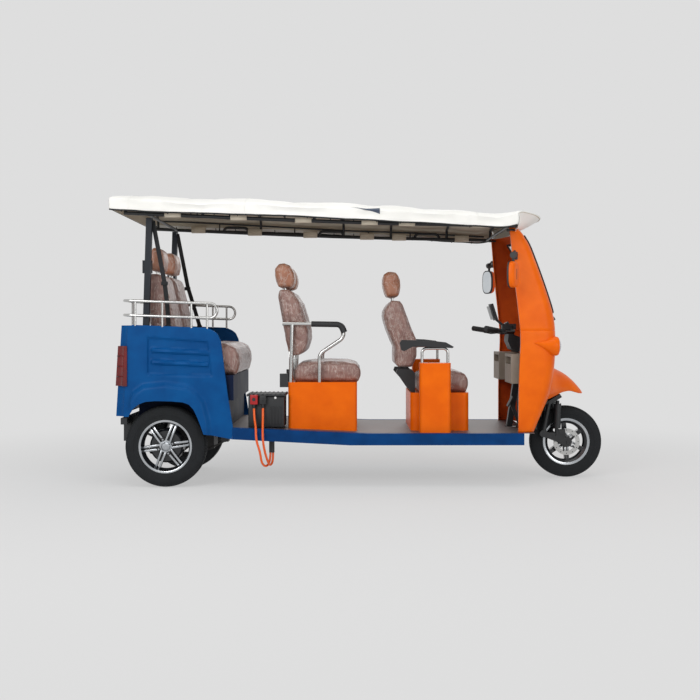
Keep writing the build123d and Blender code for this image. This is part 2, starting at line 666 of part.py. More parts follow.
POST_TOP_X = -1347
POST_LOW_X = -1375
POST_Y = 455
with BuildPart() as roof_frame:
    for rail in mirrored(swept_tube([(x, ROOF_RAIL_Y, z) for x, z in ROOF_RAIL_STATIONS], 60,
                                    ROOF_TUBE_R)):
        add(rail)
    for x in BOW_X:
        end_z, mid_z = bow_arc(x, CANOPY_T + BOW_R + BOW_GAP)
        part_z = end_z + 0.72 * (mid_z - end_z)
        half = [(ROOF_RAIL_Y, roof_rail_z(x)), (ROOF_RAIL_Y, end_z), (270, part_z)]
        route = [(x, y, z) for y, z in half] + [(x, 0, mid_z)]
        route = route + [(x, -y, z) for y, z in reversed(half)]
        add(swept_tube(route, [30, 80, 80, 80, 30], BOW_R))
    for x in (POST_TOP_X, 880):
        add(rod((x, -ROOF_RAIL_Y, roof_rail_z(x)), (x, ROOF_RAIL_Y, roof_rail_z(x)), BOW_R))
    add(swept_tube([(x, 0, bow_arc(x, CANOPY_T + 22)[1]) for x in BOW_X], 60, BOW_R))
    for x in GRIP_X:
        z = roof_rail_z(x)
        handle = [(x - 85, ROOF_RAIL_Y, z), (x - 80, ROOF_RAIL_Y, z - 38),
                  (x + 80, ROOF_RAIL_Y, z - 40), (x + 85, ROOF_RAIL_Y, z - 4)]
        for grip in mirrored(swept_tube(handle, 16, 8)):
            add(grip)
    for tab in mirrored(block(880, 930, 395, 430, 1596, 1608)):
        add(tab)
    add(side_prism([(903, 1556), (897, 1618), (1000, 1618), (1000, 1556)], -450, 450),
        mode=Mode.SUBTRACT)
roof_frame.part.label = "roof_frame"
export_step(roof_frame.part, "parts/roof_frame.step")

# Square rear posts from the tub's floor member to the roof's rear tie
with BuildPart() as roof_posts:
    for post in mirrored(side_prism([(POST_LOW_X - 20, 696), (POST_LOW_X + 18, 696),
                                     (POST_TOP_X + 18, roof_rail_z(POST_TOP_X) - 10),
                                     (POST_TOP_X - 18, roof_rail_z(POST_TOP_X) - 10)],
                                    POST_Y - 18, POST_Y + 18)):
        add(post)
    add(rod((POST_TOP_X, -500, roof_rail_z(POST_TOP_X)), (POST_TOP_X, 500, roof_rail_z(POST_TOP_X)),
            10), mode=Mode.SUBTRACT)
    for reel in mirrored(block(-1395, -1338, POST_Y - 50, POST_Y - 18, 1332, 1412)):
        add(reel)
    for guide in mirrored(block(-1350, -1331, POST_Y - 52, POST_Y - 18, 1640, 1668)):
        add(guide)
roof_posts.part.label = "roof_posts"
export_step(roof_posts.part, "parts/roof_posts.step")

# Belts of the rear seats: webbing from the post to its buckle
BELT = [(-1331, 1660), (-1296, 1338), (-1258, 1225), (-1246, 1005)]
BELT_Y = 419
with BuildPart() as seat_belts:
    outline = BELT + [(x + 3, z) for x, z in reversed(BELT)]
    for belt in mirrored(side_prism(outline, BELT_Y - 14, BELT_Y + 14)):
        add(belt)
    for buckle in mirrored(block(-1254, -1236, BELT_Y - 14, BELT_Y + 14, 915, 1008)):
        add(buckle)
    for stalk in mirrored(block(-1249, -1243, BELT_Y - 8, BELT_Y + 8, 696, 920)):
        add(stalk)
seat_belts.part.label = "seat_belts"
export_step(seat_belts.part, "parts/seat_belts.step")

# Front shell stations: height, rear edge x, front x, half width, depth of the front curve
SHELL_STATIONS = [
    (336, 950, 1098, 438, 80), (354, 950, 1110, 440, 90), (505, 951, 1175, 445, 110),
    (575, 951, 1218, 448, 136), (740, 955, 1238, 450, 210), (936, 965, 1246, 450, 230),
    (1076, 951, 1231, 450, 230), (1245, 932, 1178, 445, 225), (1400, 917, 1124, 438, 200),
    (1556, 903, 1064, 430, 155), (1618, 897, 1015, 422, 115),
]


def shell_section(z, x_rear, x_front, half, depth, inset, back):
    """Plan section of the front shell, drawn in by inset and carried back by back."""
    side_x = x_front - depth
    y = half - inset
    with BuildSketch(Plane.XY.offset(z), mode=Mode.PRIVATE) as section:
        with BuildLine():
            Polyline((side_x, y - 12), (x_rear - back, y), (x_rear - back, -y), (side_x, -y + 12))
            ThreePointArc((side_x, -y + 12), (x_front - inset, 0), (side_x, y - 12))
        make_face()
    return section.sketch.face()


def shell_solid(inset, back):
    """Solid inside the front shell's surface, drawn in by inset."""
    stations = list(SHELL_STATIONS)
    if inset:
        first, last = stations[0], stations[-1]
        stations[0] = (first[0] - 6,) + first[1:]
        stations[-1] = (last[0] + 6,) + last[1:]
    return lofted([shell_section(*station, inset, back) for station in stations])


# Front shell: cowl, side wings and wheel well, open to the rear
shell_outer = shell_solid(0, 0)
shell_inner = shell_solid(SHELL_T, 60)
screen_window = block(960, 1400, -GLASS_HALF_W, GLASS_HALF_W, GLASS_LOW_Z, GLASS_TOP_Z)
with BuildPart() as front_shell:
    cowl = shell_outer - shell_inner - screen_window
    cowl = cowl - block(WELL_X, 1400, -WELL_HALF_W, WELL_HALF_W, 300, 560)
    well = block(WELL_X - SHELL_T, WELL_X, -WELL_HALF_W - SHELL_T, WELL_HALF_W + SHELL_T,
                 FLOOR_Z, 564)
    well = well + block(WELL_X - SHELL_T, 1300, -WELL_HALF_W - SHELL_T, WELL_HALF_W + SHELL_T,
                        560, 564)
    for side in mirrored(block(WELL_X - SHELL_T, 1300, WELL_HALF_W, WELL_HALF_W + SHELL_T,
                               FLOOR_Z, 564)):
        well = well + side
    add(cowl + (well & shell_outer))
    add(rod(on_axis(-60), on_axis(120), HEAD_R + 26), mode=Mode.SUBTRACT)
front_shell.part.label = "front_shell"
export_step(front_shell.part, "parts/front_shell.step")

with BuildPart() as windscreen:
    pane = block(960, 1400, -GLASS_HALF_W + 0.3, GLASS_HALF_W - 0.3, GLASS_LOW_Z + 0.3,
                 GLASS_TOP_Z - 0.3)
    add((shell_outer - shell_inner) & pane)
windscreen.part.label = "windscreen"
export_step(windscreen.part, "parts/windscreen.step")

# Beak over the front wheel
BEAK_TOP = [(1180, 745), (1235, 731), (1324, 683), (1393, 629), (1443, 569)]
BEAK_UNDER = [(1413, 562), (1346, 576), (1280, 572), (1180, 562)]
BEAK_HALF_W = 135
with BuildPart() as front_beak:
    hood = side_prism(BEAK_TOP + BEAK_UNDER, -BEAK_HALF_W, BEAK_HALF_W)
    void = side_prism([(1170, 735), (1233, 726), (1321, 678), (1389, 624), (1424, 580),
                       (1410, 540), (1170, 540)], -BEAK_HALF_W + 5, BEAK_HALF_W - 5)
    with BuildPart(mode=Mode.PRIVATE) as plan:
        with BuildSketch(Plane.XY.offset(500)):
            with BuildLine():
                Polyline((1340, BEAK_HALF_W), (1100, BEAK_HALF_W), (1100, -BEAK_HALF_W),
                         (1340, -BEAK_HALF_W))
                ThreePointArc((1340, -BEAK_HALF_W), (1443, 0), (1340, BEAK_HALF_W))
            make_face()
        extrude(amount=300)
    add((hood & plan.part) - void - shell_outer)
    add(rod(on_axis(-60), on_axis(120), HEAD_R + 26), mode=Mode.SUBTRACT)
front_beak.part.label = "front_beak"
export_step(front_beak.part, "parts/front_beak.step")

# Lamp pods at the front corners
POD_Y = 292
POD_Z = 872
POD_PROFILE = [(1060, 0), (1085, 16), (1135, 44), (1182, 62), (1222, 58), (1241, 48), (1241, 0)]
with BuildPart() as headlamps:
    with BuildPart(mode=Mode.PRIVATE) as pod:
        with BuildSketch(Plane.XY):
            with BuildLine():
                Polyline(*POD_PROFILE, close=True)
            make_face()
        revolve(axis=Axis.X)
    for lamp in mirrored(Pos(0, POD_Y, POD_Z) * pod.part):
        add(lamp - shell_outer)
headlamps.part.label = "headlamps"
export_step(headlamps.part, "parts/headlamps.step")

# Wiper: spindle boss at the foot of the screen, arm and blade parked to the left
with BuildPart() as wiper:
    add(rod((1222, 0, 1030), (1262, 0, 1056), 13))
    add(rod((1255, 0, 1051), (1232, 160, 1101), 5))
    with BuildPart(mode=Mode.PRIVATE) as blade:
        with BuildSketch(Plane.XY.offset(1096)):
            with BuildLine():
                ThreePointArc((1247, 30), (1224, 165), (1162, 300))
                Line((1162, 300), (1170, 303))
                ThreePointArc((1170, 303), (1233, 168), (1256, 32))
                Line((1256, 32), (1247, 30))
            make_face()
        extrude(amount=12)
    add(blade.part)
    add(shell_outer, mode=Mode.SUBTRACT)
wiper.part.label = "wiper"
export_step(wiper.part, "parts/wiper.step")

# Door mirrors on bent arms
with BuildPart() as mirrors:
    for arm in mirrored(swept_tube([(925, 436.5, 1440), (915, 500, 1462), (900, 545, 1440),
                                    (900, 545, 1395)], 14, 8)):
        add(arm)
    for case in mirrored(rounded_block((878, 924, 490, 600, 1235, 1401), 14)):
        add(case)
    for foot in mirrored(block(905, 945, 438.5, 446, 1415, 1465)):
        add(foot - shell_outer)
mirrors.part.label = "mirrors"
export_step(mirrors.part, "parts/mirrors.step")

# Glove boxes at both sides of the column, open at the top rear
with BuildPart() as glove_boxes:
    for box in mirrored(block(912, 1245, 130, 388, 640, 825)):
        add(box & shell_inner)
    for slot in mirrored(block(906, 1030, 150, 368, 760, 806)):
        add(slot, mode=Mode.SUBTRACT)
glove_boxes.part.label = "glove_boxes"
export_step(glove_boxes.part, "parts/glove_boxes.step")

# Brake pedal on its floor bracket
with BuildPart() as brake_pedal:
    add(block(985, 1035, -150, -110, FLOOR_Z, FLOOR_Z + 30))
    add(side_prism([(1000, 350), (1018, 350), (962, 520), (942, 500)], -138, -122))
    add(side_prism([(925, 480), (932, 476), (965, 540), (958, 544)], -165, -95))
brake_pedal.part.label = "brake_pedal"
export_step(brake_pedal.part, "parts/brake_pedal.step")

# Handlebar with stem, instrument pod, grips and display
clamp = on_axis(BAR_ALONG)
BAR_PATH = [(970, 0, 1000), (975, 105, 962), (900, 190, 962), (765, 330, 986)]
with BuildPart() as handlebar:
    add(rod(on_axis(40), on_axis(BAR_ALONG + 12), STEM_R))
    add(rod(on_axis(BAR_ALONG - 30), on_axis(BAR_ALONG + 14), 24))
    add(block(clamp[0] - 30, clamp[0] + 62, -30, 30, clamp[2] - 28, clamp[2] + 8))
    for bar in mirrored(swept_tube(BAR_PATH, [40, 60], 11)):
        add(bar)
    for grip in mirrored(rod((858, 233.6, 969.5), (760, 335.2, 986.9), 17)):
        add(grip)
    add(side_prism([(945, 958), (1018, 930), (1036, 850), (1000, 828), (962, 850), (938, 905)],
                   -85, 85))
    add(side_prism([(862, 1040), (828, 1148), (846, 1152), (880, 1044)], -55, 55))
    add(rod((868, 0, 1050), (925, 0, 1002), 8))
handlebar.part.label = "handlebar"
export_step(handlebar.part, "parts/handlebar.step")

# Leading-link fork: crown, legs, links, coil-over units, caliper
PIVOT = (1170, 296)
LEG_Y = 84
with BuildPart() as fork:
    with BuildPart(mode=Mode.PRIVATE) as crown:
        with Locations(Plane(origin=on_axis(0), z_dir=Vector(*on_axis(1)) - Vector(*on_axis(0)))):
            Box(96, 200, 24)
    add(crown.part)
    add(rod(on_axis(0), on_axis(40), 28))
    for leg in mirrored(rod((1212, LEG_Y, 512), (PIVOT[0], LEG_Y, PIVOT[1]), 17)):
        add(leg)
    for boss in mirrored(disc_y(PIVOT[0], PIVOT[1], LEG_Y - 22, LEG_Y + 22, 24)):
        add(boss)
    link = [(PIVOT[0] - 14, PIVOT[1] + 10), (PIVOT[0] - 4, PIVOT[1] - 20),
            (FRONT_X - 4, FRONT_R - 22), (FRONT_X + 18, FRONT_R - 4), (FRONT_X + 4, FRONT_R + 20),
            (1262, 300), (1240, 300)]
    for arm in mirrored(side_prism(link, LEG_Y - 8, LEG_Y + 8)):
        add(arm)
    for damper in mirrored(rod((1266, LEG_Y, 512), (1258, LEG_Y, 280), 12)):
        add(damper)
    for coil in mirrored(rod((1265, LEG_Y, 490), (1260, LEG_Y, 330), 25)):
        add(coil)
    add(disc_y(FRONT_X, FRONT_R, -LEG_Y - 14, LEG_Y + 14, FRONT_AXLE_R))
    add(block(1262, 1318, -LEG_Y + 6, -57, 262, 322))
fork.part.label = "fork"
export_step(fork.part, "parts/fork.step")


def rim(radius, width, hub_r, hub_w, spoke_y, offset):
    """Alloy wheel about the Y axis: barrel, hub, and six forked spokes at spoke_y."""
    inner = radius - 14
    with BuildPart(mode=Mode.PRIVATE) as alloy:
        add(disc_y(0, 0, -width / 2, width / 2, radius))
        add(disc_y(0, 0, -width / 2 - 1, width / 2 + 1, inner), mode=Mode.SUBTRACT)
        add(disc_y(0, 0, spoke_y - 8 - hub_w, spoke_y + 14, hub_r))
        for step in range(6):
            turn = Rotation(0, offset + 60 * step, 0)
            for splay in (-7.5, 7.5):
                bar = block(hub_r - 10, inner + 4, -10, 10, -8, 8)
                add(turn * Pos(0, spoke_y, 0) * Rotation(0, splay, 0) * bar)
    return alloy.part


def tyre(radius, width, rim_r):
    """Tyre about the Y axis, as one closed ring with rounded shoulders."""
    half = width / 2
    with BuildPart(mode=Mode.PRIVATE) as ring:
        with BuildSketch(Plane.XY):
            with BuildLine():
                Polyline((half * 0.80, rim_r), (half, rim_r + 0.35 * (radius - rim_r)),
                         (half * 0.97, radius - 16), (half * 0.87, radius - 5),
                         (half * 0.66, radius), (-half * 0.66, radius),
                         (-half * 0.87, radius - 5), (-half * 0.97, radius - 16),
                         (-half, rim_r + 0.35 * (radius - rim_r)), (-half * 0.80, rim_r),
                         close=True)
            make_face()
        revolve(axis=Axis.X)
    return Rotation(0, 0, 90) * ring.part


# Front wheel: rim with brake disc, and tyre
with BuildPart() as front_rim:
    add(Pos(FRONT_X, 0, FRONT_R) * rim(FRONT_RIM_R, 84, 34, 38, -8, 10))
    add(disc_y(FRONT_X, FRONT_R, -51, -46, 88))
    add(disc_y(FRONT_X, FRONT_R, -51, 51, 30))
    add(disc_y(FRONT_X, FRONT_R, -120, 120, FRONT_AXLE_R + RUNNING_GAP), mode=Mode.SUBTRACT)
front_rim.part.label = "front_rim"
export_step(front_rim.part, "parts/front_rim.step")

with BuildPart() as front_tyre:
    add(Pos(FRONT_X, 0, FRONT_R) * tyre(FRONT_R, FRONT_TYRE_W, FRONT_RIM_R))
front_tyre.part.label = "front_tyre"
export_step(front_tyre.part, "parts/front_tyre.step")

# Rear wheels: rims with drums, and tyres
REAR_SIDES = {"right": -1, "left": 1}
rear_rims = {}
rear_tyres = {}
for side_name, side_sign in REAR_SIDES.items():
    with BuildPart() as wheel_rim:
        add(rim(REAR_RIM_R, 116, 42, 30, 36, 10))
        add(disc_y(0, 0, -70, 24, 100))
        add(disc_y(0, 0, -71, 14, 88), mode=Mode.SUBTRACT)
        add(disc_y(0, 0, 30, 62, 28))
        for step in range(4):
            stud = disc_y(0, 0, 30, 60, 8)
            add(Rotation(0, 45 + 90 * step, 0) * Pos(34, 0, 0) * stud)
        add(disc_y(0, 0, -100, REAR_SPINDLE_Y - REAR_TRACK_Y + 4, REAR_SPINDLE_R + RUNNING_GAP),
            mode=Mode.SUBTRACT)
    placed = wheel_rim.part
    tread = tyre(REAR_R, REAR_TYRE_W, REAR_RIM_R)
    if side_sign < 0:
        placed = Rotation(0, 0, 180) * placed
    rear_rims[side_name] = Pos(REAR_X, side_sign * REAR_TRACK_Y, REAR_R) * placed
    rear_tyres[side_name] = Pos(REAR_X, side_sign * REAR_TRACK_Y, REAR_R) * tread

with BuildPart() as rear_rim_right:
    add(rear_rims["right"])
rear_rim_right.part.label = "rear_rim_right"
export_step(rear_rim_right.part, "parts/rear_rim_right.step")

with BuildPart() as rear_rim_left:
    add(rear_rims["left"])
rear_rim_left.part.label = "rear_rim_left"
export_step(rear_rim_left.part, "parts/rear_rim_left.step")

with BuildPart() as rear_tyre_right:
    add(rear_tyres["right"])
rear_tyre_right.part.label = "rear_tyre_right"
export_step(rear_tyre_right.part, "parts/rear_tyre_right.step")

with BuildPart() as rear_tyre_left:
    add(rear_tyres["left"])
rear_tyre_left.part.label = "rear_tyre_left"
export_step(rear_tyre_left.part, "parts/rear_tyre_left.step")
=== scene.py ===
"""Looks of an electric auto rickshaw with three rows of seats and a fabric canopy.

Frame: X forward, Y to the left, Z up, in metres, with the origin on the ground under the
middle of the vehicle. Sizes in millimetres carry mm in their names.
"""
import json
import logging
import math
from dataclasses import dataclass
from enum import Enum
from typing import Callable, Iterable, Sequence

import bmesh
import bpy
from mathutils import Matrix, Vector, noise

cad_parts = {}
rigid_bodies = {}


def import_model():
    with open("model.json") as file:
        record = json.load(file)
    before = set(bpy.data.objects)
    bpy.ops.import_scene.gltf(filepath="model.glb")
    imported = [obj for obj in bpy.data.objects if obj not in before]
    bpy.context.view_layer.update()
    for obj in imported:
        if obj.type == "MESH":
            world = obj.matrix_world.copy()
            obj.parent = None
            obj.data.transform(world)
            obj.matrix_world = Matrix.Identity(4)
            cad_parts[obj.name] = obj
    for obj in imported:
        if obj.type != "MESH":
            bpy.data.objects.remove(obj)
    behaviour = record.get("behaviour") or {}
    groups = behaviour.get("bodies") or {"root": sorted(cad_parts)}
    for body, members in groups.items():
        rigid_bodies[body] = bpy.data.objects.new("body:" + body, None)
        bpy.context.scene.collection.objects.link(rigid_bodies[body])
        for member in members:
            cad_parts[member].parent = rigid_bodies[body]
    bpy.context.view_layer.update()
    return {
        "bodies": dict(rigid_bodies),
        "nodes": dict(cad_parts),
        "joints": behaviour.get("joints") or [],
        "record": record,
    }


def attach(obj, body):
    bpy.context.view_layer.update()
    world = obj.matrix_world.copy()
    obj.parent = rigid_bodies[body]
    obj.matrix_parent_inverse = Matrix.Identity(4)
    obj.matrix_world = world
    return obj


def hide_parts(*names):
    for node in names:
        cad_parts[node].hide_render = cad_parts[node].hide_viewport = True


LOG = logging.getLogger("rickshaw")
MM = 0.001
Point = tuple[float, float, float]
Socket = bpy.types.NodeSocket
# Wheel centres in metres: the rear pair's X, Y and Z, and the front wheel's.
REAR_WHEEL = (-1.247, 0.410, 0.253)
FRONT_WHEEL = (1.332, 0.0, 0.237)


def linear(code: str) -> tuple[float, float, float, float]:
    """Turns an sRGB hex colour into linear RGBA.

    Args:
        code: Colour as "#rrggbb".

    Returns:
        Linear red, green, blue and an alpha of 1.
    """
    parts = [int(code[i:i + 2], 16) / 255 for i in (1, 3, 5)]
    flat = [c / 12.92 if c <= 0.04045 else ((c + 0.055) / 1.055) ** 2.4 for c in parts]
    return (flat[0], flat[1], flat[2], 1.0)


def add_node(tree: bpy.types.NodeTree, kind: str, settings: dict | None = None,
             links: dict | None = None) -> bpy.types.Node:
    """Adds one node with its settings and incoming links.

    Args:
        tree: Node tree that takes the node.
        kind: Node type name.
        settings: Attribute names, or input names or numbers after "in:", with their values.
        links: Input names or numbers with the sockets that feed them.

    Returns:
        The new node.
    """
    made = tree.nodes.new(kind)
    for name, value in (settings or {}).items():
        if name.startswith("in:"):
            key = name[3:]
            made.inputs[int(key) if key.isdigit() else key].default_value = value
        else:
            setattr(made, name, value)
    for key, source in (links or {}).items():
        tree.links.new(source, made.inputs[key])
    return made


def blank_material(name: str) -> tuple[bpy.types.Material, bpy.types.NodeTree]:
    """Makes a material with an empty node tree.

    Args:
        name: Name of the material.

    Returns:
        The material and its tree.
    """
    made = bpy.data.materials.new(name)
    made.use_nodes = True
    made.node_tree.nodes.clear()
    return made, made.node_tree


def linked(name: str, data: bpy.types.ID) -> bpy.types.Object:
    """Makes an object from its data and links it to the scene."""
    made = bpy.data.objects.new(name, data)
    bpy.context.scene.collection.objects.link(made)
    return made


class Relief(Enum):
    """How a surface was made, which sets its fine relief."""

    SMOOTH = "smooth"
    ORANGE_PEEL = "orange peel of sprayed paint"
    GRAIN = "grain of a moulded part"
    BRUSHED = "lines of a brushed or drawn tube"
    CAST = "sand of a casting"
    WEAVE = "threads of a cloth"
    LEATHER = "pores of a coated leather cloth"
    TREAD = "raised lozenges of a tread plate"
    FILM = "creased clear wrapping over coated cloth"


@dataclass(frozen=True)
class Finish:
    """One procedural surface: colour, its drift, gloss and fine relief."""

    name: str
    colour: str
    drift: str
    relief: Relief
    pitch_mm: float
    depth_mm: float
    roughness: float
    metallic: float = 0.0
    coat: float = 0.0
    coat_roughness: float = 0.05
    patch_mm: float = 120.0
    rough_drift: float = 0.08
    sheen: float = 0.0
    ior: float = 1.5

    def _pattern(self, tree: bpy.types.NodeTree, place: Socket) -> Socket | None:
        """Adds the nodes of the fine relief.

        Args:
            tree: Node tree of the material.
            place: Object coordinates in metres.

        Returns:
            Height from 0 to 1, or None for a smooth surface.
        """
        rate = 1000.0 / self.pitch_mm
        if self.relief is Relief.SMOOTH:
            return None
        if self.relief in (Relief.ORANGE_PEEL, Relief.CAST, Relief.GRAIN):
            detail = 1.0 if self.relief is Relief.ORANGE_PEEL else 3.0
            return add_node(tree, "ShaderNodeTexNoise",
                            {"in:Scale": rate, "in:Detail": detail, "in:Roughness": 0.6},
                            {"Vector": place}).outputs["Fac"]
        if self.relief is Relief.BRUSHED:
            stretched = add_node(tree, "ShaderNodeMapping", {"in:Scale": (0.05, 1.0, 1.0)},
                                 {"Vector": place}).outputs["Vector"]
            return add_node(tree, "ShaderNodeTexNoise", {"in:Scale": rate, "in:Detail": 2.0},
                            {"Vector": stretched}).outputs["Fac"]
        if self.relief is Relief.WEAVE:
            warp = add_node(tree, "ShaderNodeTexWave",
                            {"bands_direction": "X", "in:Scale": rate / 6.2832},
                            {"Vector": place}).outputs["Fac"]
            weft = add_node(tree, "ShaderNodeTexWave",
                            {"bands_direction": "Y", "in:Scale": rate / 6.2832},
                            {"Vector": place}).outputs["Fac"]
            return add_node(tree, "ShaderNodeMath", {"operation": "MAXIMUM"},
                            {0: warp, 1: weft}).outputs[0]
        if self.relief in (Relief.LEATHER, Relief.FILM):
            return add_node(tree, "ShaderNodeTexVoronoi",
                            {"feature": "SMOOTH_F1", "in:Scale": rate, "in:Smoothness": 0.4},
                            {"Vector": place}).outputs["Distance"]
        turned = add_node(tree, "ShaderNodeMapping",
                          {"in:Rotation": (0.0, 0.0, math.radians(45)),
                           "in:Scale": (1.0, 0.42, 1.0)}, {"Vector": place}).outputs["Vector"]
        lozenge = add_node(tree, "ShaderNodeTexVoronoi",
                           {"feature": "F1", "distance": "CHEBYCHEV", "in:Scale": rate,
                            "in:Randomness": 0.0}, {"Vector": turned}).outputs["Distance"]
        return add_node(tree, "ShaderNodeMapRange",
                        {"in:From Min": 0.18, "in:From Max": 0.24, "in:To Min": 1.0,
                         "in:To Max": 0.0}, {"Value": lozenge}).outputs["Result"]

    def material(self) -> bpy.types.Material:
        """Makes the material of this finish, once."""
        known = bpy.data.materials.get(self.name)
        if known is not None:
            return known
        made, tree = blank_material(self.name)
        made.diffuse_color = linear(self.colour)
        place = add_node(tree, "ShaderNodeTexCoord").outputs["Object"]
        clouds = add_node(tree, "ShaderNodeTexNoise",
                          {"in:Scale": 1000.0 / self.patch_mm, "in:Detail": 4.0},
                          {"Vector": place}).outputs["Fac"]
        tint = add_node(tree, "ShaderNodeMix",
                        {"data_type": "RGBA", "in:6": linear(self.colour),
                         "in:7": linear(self.drift)})
        spread = add_node(tree, "ShaderNodeMapRange",
                          {"in:From Min": 0.35, "in:From Max": 0.65}, {"Value": clouds})
        tree.links.new(spread.outputs["Result"], tint.inputs[0])
        gloss = add_node(tree, "ShaderNodeMapRange",
                         {"in:To Min": max(self.roughness - self.rough_drift, 0.02),
                          "in:To Max": min(self.roughness + self.rough_drift, 1.0)},
                         {"Value": clouds})
        shader = add_node(tree, "ShaderNodeBsdfPrincipled",
                          {"in:Metallic": self.metallic, "in:Coat Weight": self.coat,
                           "in:Coat Roughness": self.coat_roughness,
                           "in:Sheen Weight": self.sheen},
                          {"Base Color": tint.outputs[2], "Roughness": gloss.outputs["Result"]})
        if self.metallic < 0.5:
            shader.inputs["IOR"].default_value = self.ior
        height = self._pattern(tree, place)
        if height is not None:
            bump = add_node(tree, "ShaderNodeBump",
                            {"in:Strength": 1.0, "in:Distance": self.depth_mm * MM},
                            {"Height": height})
            tree.links.new(bump.outputs["Normal"], shader.inputs["Normal"])
        if self.relief is Relief.FILM:
            self._add_film(tree, place, shader)
        out = add_node(tree, "ShaderNodeOutputMaterial")
        tree.links.new(shader.outputs["BSDF"], out.inputs["Surface"])
        return made

    def _add_film(self, tree: bpy.types.NodeTree, place: Socket,
                  shader: bpy.types.Node) -> None:
        """Lays creased clear wrapping over the cloth as a coat with sharp folds, and paints pale
        highlight into the base colour along the folds.

        Args:
            tree: Node tree of the material.
            place: Object coordinates in metres.
            shader: Principled shader whose coat is the wrapping.
        """
        drawn = add_node(tree, "ShaderNodeMapping",
                         {"in:Rotation": (0.55, 0.35, 0.0), "in:Scale": (1.7, 1.7, 0.5)},
                         {"Vector": place}).outputs["Vector"]
        streaks = add_node(tree, "ShaderNodeTexNoise",
                           {"in:Scale": 15.0, "in:Detail": 4.0, "in:Roughness": 0.6,
                            "in:Distortion": 1.4}, {"Vector": drawn}).outputs["Fac"]
        middle = add_node(tree, "ShaderNodeMath", {"operation": "SUBTRACT", "in:1": 0.5},
                          {0: streaks}).outputs[0]
        off = add_node(tree, "ShaderNodeMath", {"operation": "ABSOLUTE"},
                       {0: middle}).outputs[0]
        ridge = add_node(tree, "ShaderNodeMapRange",
                         {"in:From Min": 0.0, "in:From Max": 0.055, "in:To Min": 1.0,
                          "in:To Max": 0.0, "interpolation_type": "SMOOTHSTEP"},
                         {"Value": off}).outputs["Result"]
        crumple = add_node(tree, "ShaderNodeTexNoise",
                           {"in:Scale": 55.0, "in:Detail": 3.0, "in:Distortion": 0.8},
                           {"Vector": place}).outputs["Fac"]
        height = add_node(tree, "ShaderNodeMath", {"operation": "MULTIPLY_ADD", "in:1": 0.45},
                          {0: crumple, 2: ridge}).outputs[0]
        bump = add_node(tree, "ShaderNodeBump", {"in:Strength": 1.0, "in:Distance": 0.007},
                        {"Height": height})
        tree.links.new(bump.outputs["Normal"], shader.inputs["Coat Normal"])
        under = shader.inputs["Base Color"].links[0].from_socket
        # Painted highlight: along the creases, in patches, the base colour pales towards #c9bcb4.
        highlight_patches = add_node(tree, "ShaderNodeTexNoise", {"in:Scale": 7.0, "in:Detail": 3.0},
                          {"Vector": place}).outputs["Fac"]
        crease_highlight = add_node(tree, "ShaderNodeMath", {"operation": "MULTIPLY"},
                        {0: ridge, 1: highlight_patches}).outputs[0]
        highlight_mix = add_node(tree, "ShaderNodeMapRange",
                        {"in:From Min": 0.18, "in:From Max": 0.60, "in:To Max": 0.50},
                        {"Value": crease_highlight}).outputs["Result"]
        highlighted_colour = add_node(tree, "ShaderNodeMix",
                           {"data_type": "RGBA", "in:7": linear("#c9bcb4")},
                           {0: highlight_mix, 6: under}).outputs[2]
        tree.links.new(highlighted_colour, shader.inputs["Base Color"])


@dataclass(frozen=True)
class Glass:
    """Clear pane with a faint tint and a few specks of dust."""

    name: str = "laminated glass"
    colour: str = "#eef3f2"

    def material(self) -> bpy.types.Material:
        """Makes the glass material, once."""
        known = bpy.data.materials.get(self.name)
        if known is not None:
            return known
        made, tree = blank_material(self.name)
        place = add_node(tree, "ShaderNodeTexCoord").outputs["Object"]
        dust = add_node(tree, "ShaderNodeTexNoise", {"in:Scale": 14.0, "in:Detail": 6.0},
                        {"Vector": place}).outputs["Fac"]
        gloss = add_node(tree, "ShaderNodeMapRange",
                         {"in:From Min": 0.45, "in:From Max": 0.8, "in:To Min": 0.02,
                          "in:To Max": 0.12}, {"Value": dust}).outputs["Result"]
        shader = add_node(tree, "ShaderNodeBsdfPrincipled",
                          {"in:Base Color": linear(self.colour), "in:IOR": 1.45,
                           "in:Transmission Weight": 1.0}, {"Roughness": gloss})
        out = add_node(tree, "ShaderNodeOutputMaterial")
        tree.links.new(shader.outputs["BSDF"], out.inputs["Surface"])
        return made


# The same two-pack paint as the blue, with painted shade: a darker copy of the blue for the shade
# the body casts on the sills.
SILL_PAINT_SHADE = Finish("satin blue paint with painted shade on sills", "#033c74", "#023263", Relief.ORANGE_PEEL,
                    4.0, 0.02, 0.5, ior=1.2)
# Satin two-pack paint on sheet steel: deep blue, soft gloss, slight orange peel.
BLUE_PAINT = Finish("satin blue paint on steel", "#054e8a", "#03447e", Relief.ORANGE_PEEL,
                    4.0, 0.02, 0.42, ior=1.2)
# Gloss enamel on fibreglass and steel: strong orange with clear highlights.
ORANGE_PAINT = Finish("gloss orange enamel", "#ec6a08", "#e26005", Relief.ORANGE_PEEL,
                      5.0, 0.02, 0.34, coat=0.04, coat_roughness=0.12, ior=1.2)
# The same enamel on the shell's inner wall, with painted shade: a darker red-orange for the shade
# inside the shell, and a rougher grained gloss.
ORANGE_INSIDE_SHADE = Finish("orange enamel inside with painted shade", "#c04a0e", "#a83a0a", Relief.GRAIN, 6.0, 0.1,
                       0.6, ior=1.2)
# Powder coat on mild steel tube: near black, satin, with fine texture.
FRAME_BLACK = Finish("black powder coat on steel", "#15171a", "#1b1d20", Relief.GRAIN,
                     1.6, 0.04, 0.42)
# Powder coat on the square posts: dark slate blue, satin.
SLATE_PAINT = Finish("slate powder coat on steel", "#12171e", "#181f28", Relief.GRAIN, 1.6, 0.04,
                     0.5, ior=1.35)
# Painted cast iron: matt dark grey with a sandy skin.
CAST_BLACK = Finish("painted cast iron", "#1d1e20", "#2a2927", Relief.CAST, 3.0, 0.2, 0.62)
# Spring steel under thin paint: dark, a little sheen, dusty streaks.
SPRING_STEEL = Finish("painted spring steel", "#202226", "#33312f", Relief.BRUSHED, 2.0, 0.05,
                      0.5, metallic=0.3)
